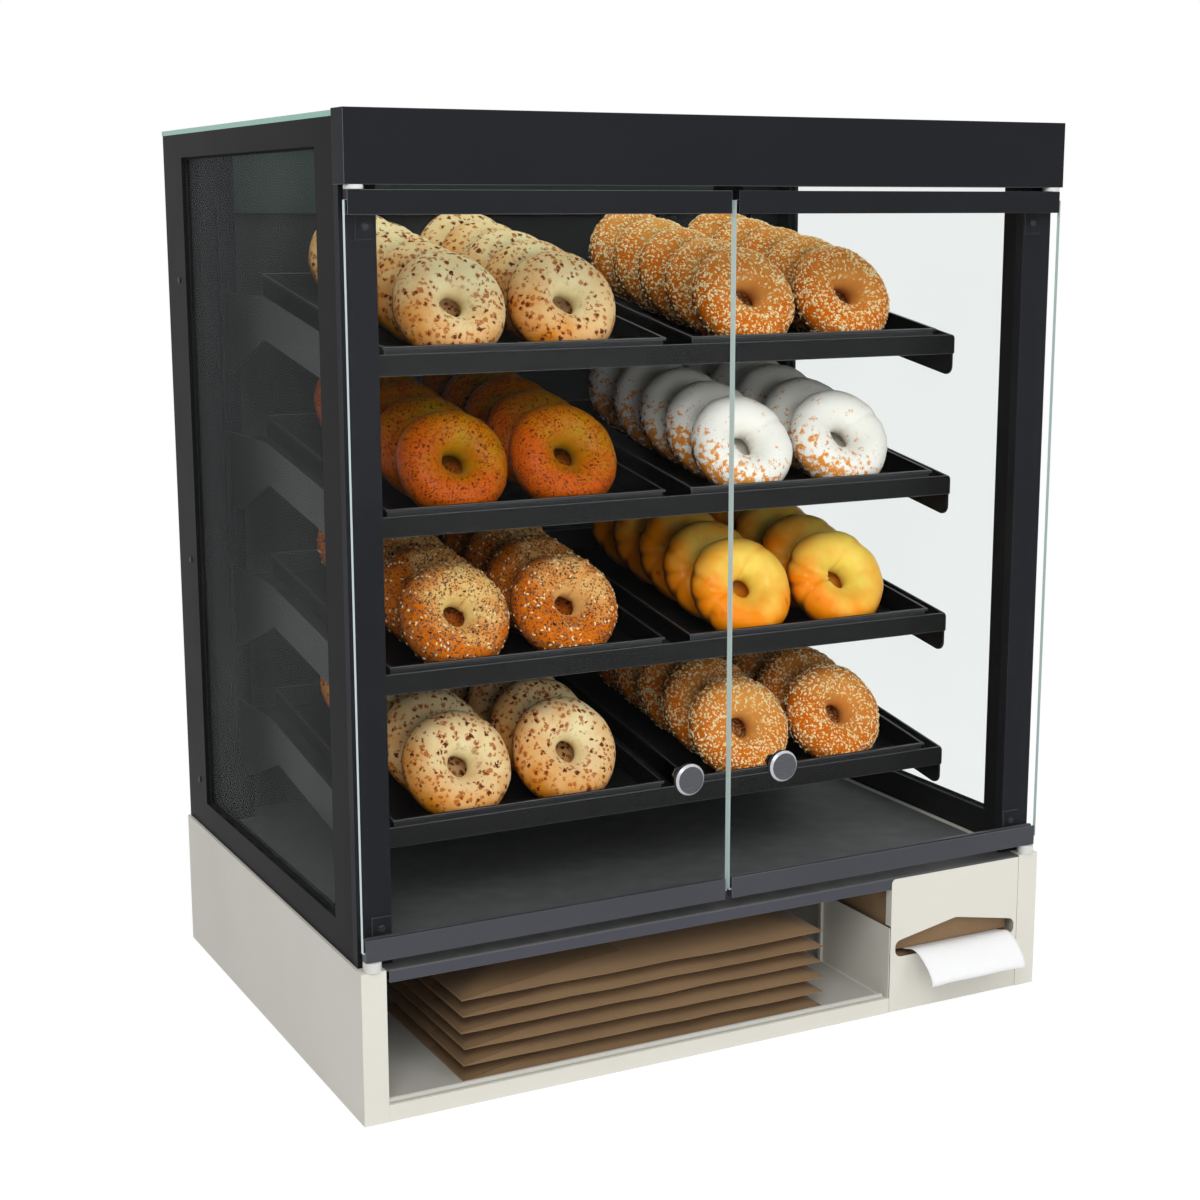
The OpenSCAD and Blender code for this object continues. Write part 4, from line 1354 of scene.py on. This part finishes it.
@dataclass
class TissueSupply:
    """The carton behind the front panel and the sheet that hangs out of the slot."""

    finishes: Finishes
    carton_low: Point = (0.2345, 0.0138, 0.0202)
    carton_high: Point = (0.4145, 0.262, 0.1535)
    slit_low: float = 0.066
    slit_high: float = 0.0755
    lid_h: float = 0.022
    sheet_low_x: float = 0.2578
    sheet_high_x: float = 0.4025
    sheet_t: float = 0.0003

    def build(self) -> None:
        """Builds the carton and the sheet."""
        self._carton()
        self._sheet()

    def _carton(self) -> None:
        """Builds the carton: a closed box with a slit, a lid seam and a rubbed front."""
        low, high = Vector(self.carton_low), Vector(self.carton_high)
        bm = bmesh.new()
        bmesh.ops.create_cube(bm, size=1.0)
        size = high - low
        centre = (low + high) / 2
        bmesh.ops.scale(bm, verts=bm.verts, vec=size)
        bmesh.ops.translate(bm, verts=bm.verts, vec=centre)
        for level in (self.slit_low, self.slit_high, high.z - self.lid_h):
            bmesh.ops.bisect_plane(bm, geom=list(bm.verts) + list(bm.edges) + list(bm.faces), dist=WELD,
                                   plane_co=(0, 0, level), plane_no=(0, 0, 1))
        front = [f for f in bm.faces if f.normal.y < -0.9
                 and self.slit_low < f.calc_center_median().z < self.slit_high]
        bmesh.ops.inset_region(bm, faces=front, thickness=0.0015, depth=0.0)
        deep = bmesh.ops.extrude_face_region(bm, geom=front)
        bmesh.ops.translate(bm, verts=[g for g in deep["geom"] if isinstance(g, bmesh.types.BMVert)],
                            vec=(0.0, 0.03, 0.0))
        bmesh.ops.delete(bm, geom=front, context="FACES_ONLY")
        lid = [f for f in bm.faces
               if abs(f.normal.z) < 0.1 and f.calc_center_median().z > high.z - self.lid_h]
        bmesh.ops.inset_region(bm, faces=lid, thickness=0.0008, depth=0.0006)
        bmesh.ops.recalc_face_normals(bm, faces=bm.faces)
        corners = [e for e in bm.edges if len(e.link_faces) == 2 and e.is_convex
                   and e.calc_face_angle(0.0) > math.radians(60)]
        bmesh.ops.bevel(bm, geom=corners, offset=0.0008, offset_type="OFFSET", segments=2, profile=0.5,
                        affect="EDGES", clamp_overlap=True, material=-1)
        for vert in bm.verts:
            vert.co.y += FRONT
            vert.co += Vector((0.0, 0.0003, 0.0)) * noise.noise(vert.co * 20)
        piece = finish_mesh("tissue_carton", bm, [self.finishes["carton_board"]], 32.0)
        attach(piece, "cabinet")
        LOG.info("%s: %.0f by %.0f by %.0f mm", piece.name, *(size * 1000))

    def profile(self) -> list[tuple[float, float]]:
        """Gives the sheet's run from the carton to its loose end.

        Returns:
            Distances behind the front plane and heights, in metres.
        """
        return [(0.028, 0.0715), (0.018, 0.0726), (0.008, 0.075), (0.0, 0.0775), (-0.0055, 0.0788),
                (-0.012, 0.0785), (-0.019, 0.0762), (-0.026, 0.0722), (-0.0325, 0.0672), (-0.0385, 0.0616),
                (-0.0428, 0.0562), (-0.0452, 0.0512), (-0.0456, 0.0472), (-0.0442, 0.0446), (-0.0415, 0.0434)]

    def _sheet(self) -> None:
        """Builds the sheet of tissue."""
        points = self.profile()
        width = self.sheet_high_x - self.sheet_low_x
        bm = bmesh.new()
        bmesh.ops.create_grid(bm, x_segments=30, y_segments=len(points) - 1, size=0.5)
        for vert in bm.verts:
            along = (vert.co.y + 0.5) * (len(points) - 1)
            first = min(int(along + 1e-6), len(points) - 2)
            part = along - first
            y = points[first][0] * (1 - part) + points[first + 1][0] * part
            z = points[first][1] * (1 - part) + points[first + 1][1] * part
            across = vert.co.x + 0.5
            loose = min(1.0, max(0.0, (along - 4) / 8))
            ripple = 0.0012 * noise.noise(Vector((across * 3.1, along * 0.22, 4.0))) * loose
            x = self.sheet_low_x + across * width + 0.004 * loose * (0.5 - across)
            droop = 0.0015 * loose * (across - 0.5) ** 2 * 4
            vert.co = Vector((x, FRONT + y + ripple, z + ripple * 1.5 - droop))
        bmesh.ops.recalc_face_normals(bm, faces=bm.faces)
        piece = finish_mesh("tissue_sheet", bm, [self.finishes["tissue_paper"]], 80.0)
        skin = piece.modifiers.new("paper", "SOLIDIFY")
        skin.thickness = self.sheet_t
        skin.offset = 0.0
        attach(piece, "cabinet")


@dataclass
class Display:
    """What the bin shows: bread on the trays, bags in the bay and tissue."""

    finishes: Finishes
    variants: int = 3

    def build(self) -> None:
        """Builds the bread of every tray, the bags and the tissue."""
        plan = {(4, "left"): Bread.CHEESE, (4, "right"): Bread.SESAME, (3, "left"): Bread.GLAZED,
                (3, "right"): Bread.FLOURED, (2, "left"): Bread.SEEDED, (2, "right"): Bread.GOLDEN,
                (1, "left"): Bread.CHEESE, (1, "right"): Bread.SESAME}
        rings = {kind: [Bagel().build(kind, 10 * n + number) for number in range(self.variants)]
                 for n, kind in enumerate(Bread)}
        for (level, side), kind in plan.items():
            TrayLoad(self.finishes, level, side, kind).build(rings[kind])
        for meshes in rings.values():
            for mesh in meshes:
                bpy.data.meshes.remove(mesh)
        BagStack(self.finishes).build()
        TissueSupply(self.finishes).build()


@dataclass
class Studio:
    """The pale floor, the soft light and the camera."""

    camera_place: Point = (-1.14624, -1.90745, 0.96261)
    yaw: float = -0.4769
    pitch: float = -0.1904
    roll: float = -0.0016
    focal: float = 2019.33
    image: int = 1200
    sensor: float = 36.0
    shift: float = -0.0036
    view_reach: float = 60.0
    floor_half: float = 14.0
    near: float = 0.8
    far: float = 2.2
    near_glow: float = 1.14
    near_share: float = 0.78
    surround: float = 0.4
    aim_h: float = 0.5

    def build(self) -> None:
        """Builds the studio round the bin."""
        self._floor()
        self._world()
        self._lamp("key", (-1.5, -2.7, 2.7), 1.8, 46.0)
        self._lamp("fill", (1.4, -3.0, 2.9), 1.8, 16.0)
        self._lamp("front", (0.4, -4.6, 1.2), 3.6, 62.0)
        self._lamp("top", (0.2, 0.2, 3.2), 2.4, 22.0)
        self._camera()
        bpy.context.scene.view_settings.view_transform = "Standard"

    def _floor(self) -> None:
        """Builds the floor, which is pale to the camera and keeps the shadow."""
        bm = bmesh.new()
        bmesh.ops.create_grid(bm, x_segments=1, y_segments=1, size=self.floor_half)
        floor = finish_mesh("floor", bm, [])
        sheet = Sheet("floor_white")
        graph = sheet.graph
        where = sheet.place.outputs["Object"]
        cloud = graph.noise(where, 1.5, 2.0)
        shade = graph.mix(graph.times(cloud, 0.1), (0.86, 0.86, 0.86, 1), (0.8, 0.8, 0.8, 1))
        away = graph.add("ShaderNodeVectorMath", {0: where}, operation="LENGTH").outputs["Value"]
        matt = sheet.shade({"Base Color": shade, "Roughness": 0.9, "Specular IOR Level": 0.1})
        strength = graph.remap(away, self.near, self.far, self.near_glow, 1.0)
        glow = graph.add("ShaderNodeEmission", {"Color": WHITE, "Strength": strength})
        share = graph.times(self._seen(graph), graph.remap(away, self.near, self.far, self.near_share, 1.0))
        mixed = graph.add("ShaderNodeMixShader", {0: share, 1: matt.outputs[0], 2: glow.outputs[0]})
        sheet.material.node_tree.links.new(mixed.outputs[0], sheet.output.inputs[0])
        floor.data.materials.append(sheet.material)

    def _world(self) -> None:
        """Builds a surround that is white where it is seen and lights the bin softly."""
        world = bpy.data.worlds.new("surround")
        bpy.context.scene.world = world
        world.use_nodes = True
        graph = Graph(world.node_tree)
        strength = graph.plus(graph.times(self._seen(graph), 1.0 - self.surround), self.surround)
        light = graph.add("ShaderNodeBackground", {"Color": WHITE, "Strength": strength})
        graph.add("ShaderNodeOutputWorld", {0: light.outputs[0]})

    def _seen(self, graph: Graph) -> bpy.types.NodeSocket:
        """Marks the rays that show the background: those of the camera, of glass and of gloss.

        Args:
            graph: The graph that the nodes go into.

        Returns:
            The socket, 1 for those rays and 0 for light.
        """
        path = graph.add("ShaderNodeLightPath")
        direct = graph.maths("MAXIMUM", path.outputs["Is Camera Ray"], path.outputs["Is Transmission Ray"])
        return graph.maths("MAXIMUM", direct, path.outputs["Is Glossy Ray"])

    def _lamp(self, name: str, place: Point, size: float, power: float) -> None:
        """Adds a soft square lamp that looks at the bin.

        Args:
            name: The lamp's name.
            place: Where it stands.
            size: Its side in metres.
            power: Its power in watts.
        """
        data = bpy.data.lights.new(name, "AREA")
        data.shape = "SQUARE"
        data.size = size
        data.energy = power
        lamp = bpy.data.objects.new(name, data)
        bpy.context.scene.collection.objects.link(lamp)
        aim = Vector((0.0, 0.0, self.aim_h)) - Vector(place)
        lamp.matrix_world = Matrix.Translation(place) @ aim.to_track_quat("-Z", "Y").to_matrix().to_4x4()

    def _camera(self) -> None:
        """Sets the camera to the view that the bin is seen in."""
        data = bpy.data.cameras.new("view")
        data.sensor_width = self.sensor
        data.lens = self.focal / self.image * data.sensor_width
        data.clip_end = self.view_reach
        data.shift_x = self.shift
        ahead = Vector((-math.sin(self.yaw) * math.cos(self.pitch), math.cos(self.yaw) * math.cos(self.pitch),
                        math.sin(self.pitch)))
        level = Vector((math.cos(self.yaw), math.sin(self.yaw), 0.0))
        rise = level.cross(ahead)
        right = level * math.cos(self.roll) + rise * math.sin(self.roll)
        up = rise * math.cos(self.roll) - level * math.sin(self.roll)
        turn = Matrix((right, up, -ahead)).transposed().to_4x4()
        x, y, z = self.camera_place
        camera = bpy.data.objects.new("view", data)
        bpy.context.scene.collection.objects.link(camera)
        camera.matrix_world = Matrix.Translation((x, y + FRONT, z)) @ turn
        bpy.context.scene.camera = camera


def main() -> None:
    """Builds the whole scene in order."""
    finishes = Finishes()
    Studio().build()
    dresser = Dresser(finishes)
    for part in (Base(dresser), Enclosure(dresser), Doors(dresser), ShelfRack(dresser)):
        part.build()
    Display(finishes).build()
    bpy.context.view_layer.update()


if __name__ == "__main__":
    main()
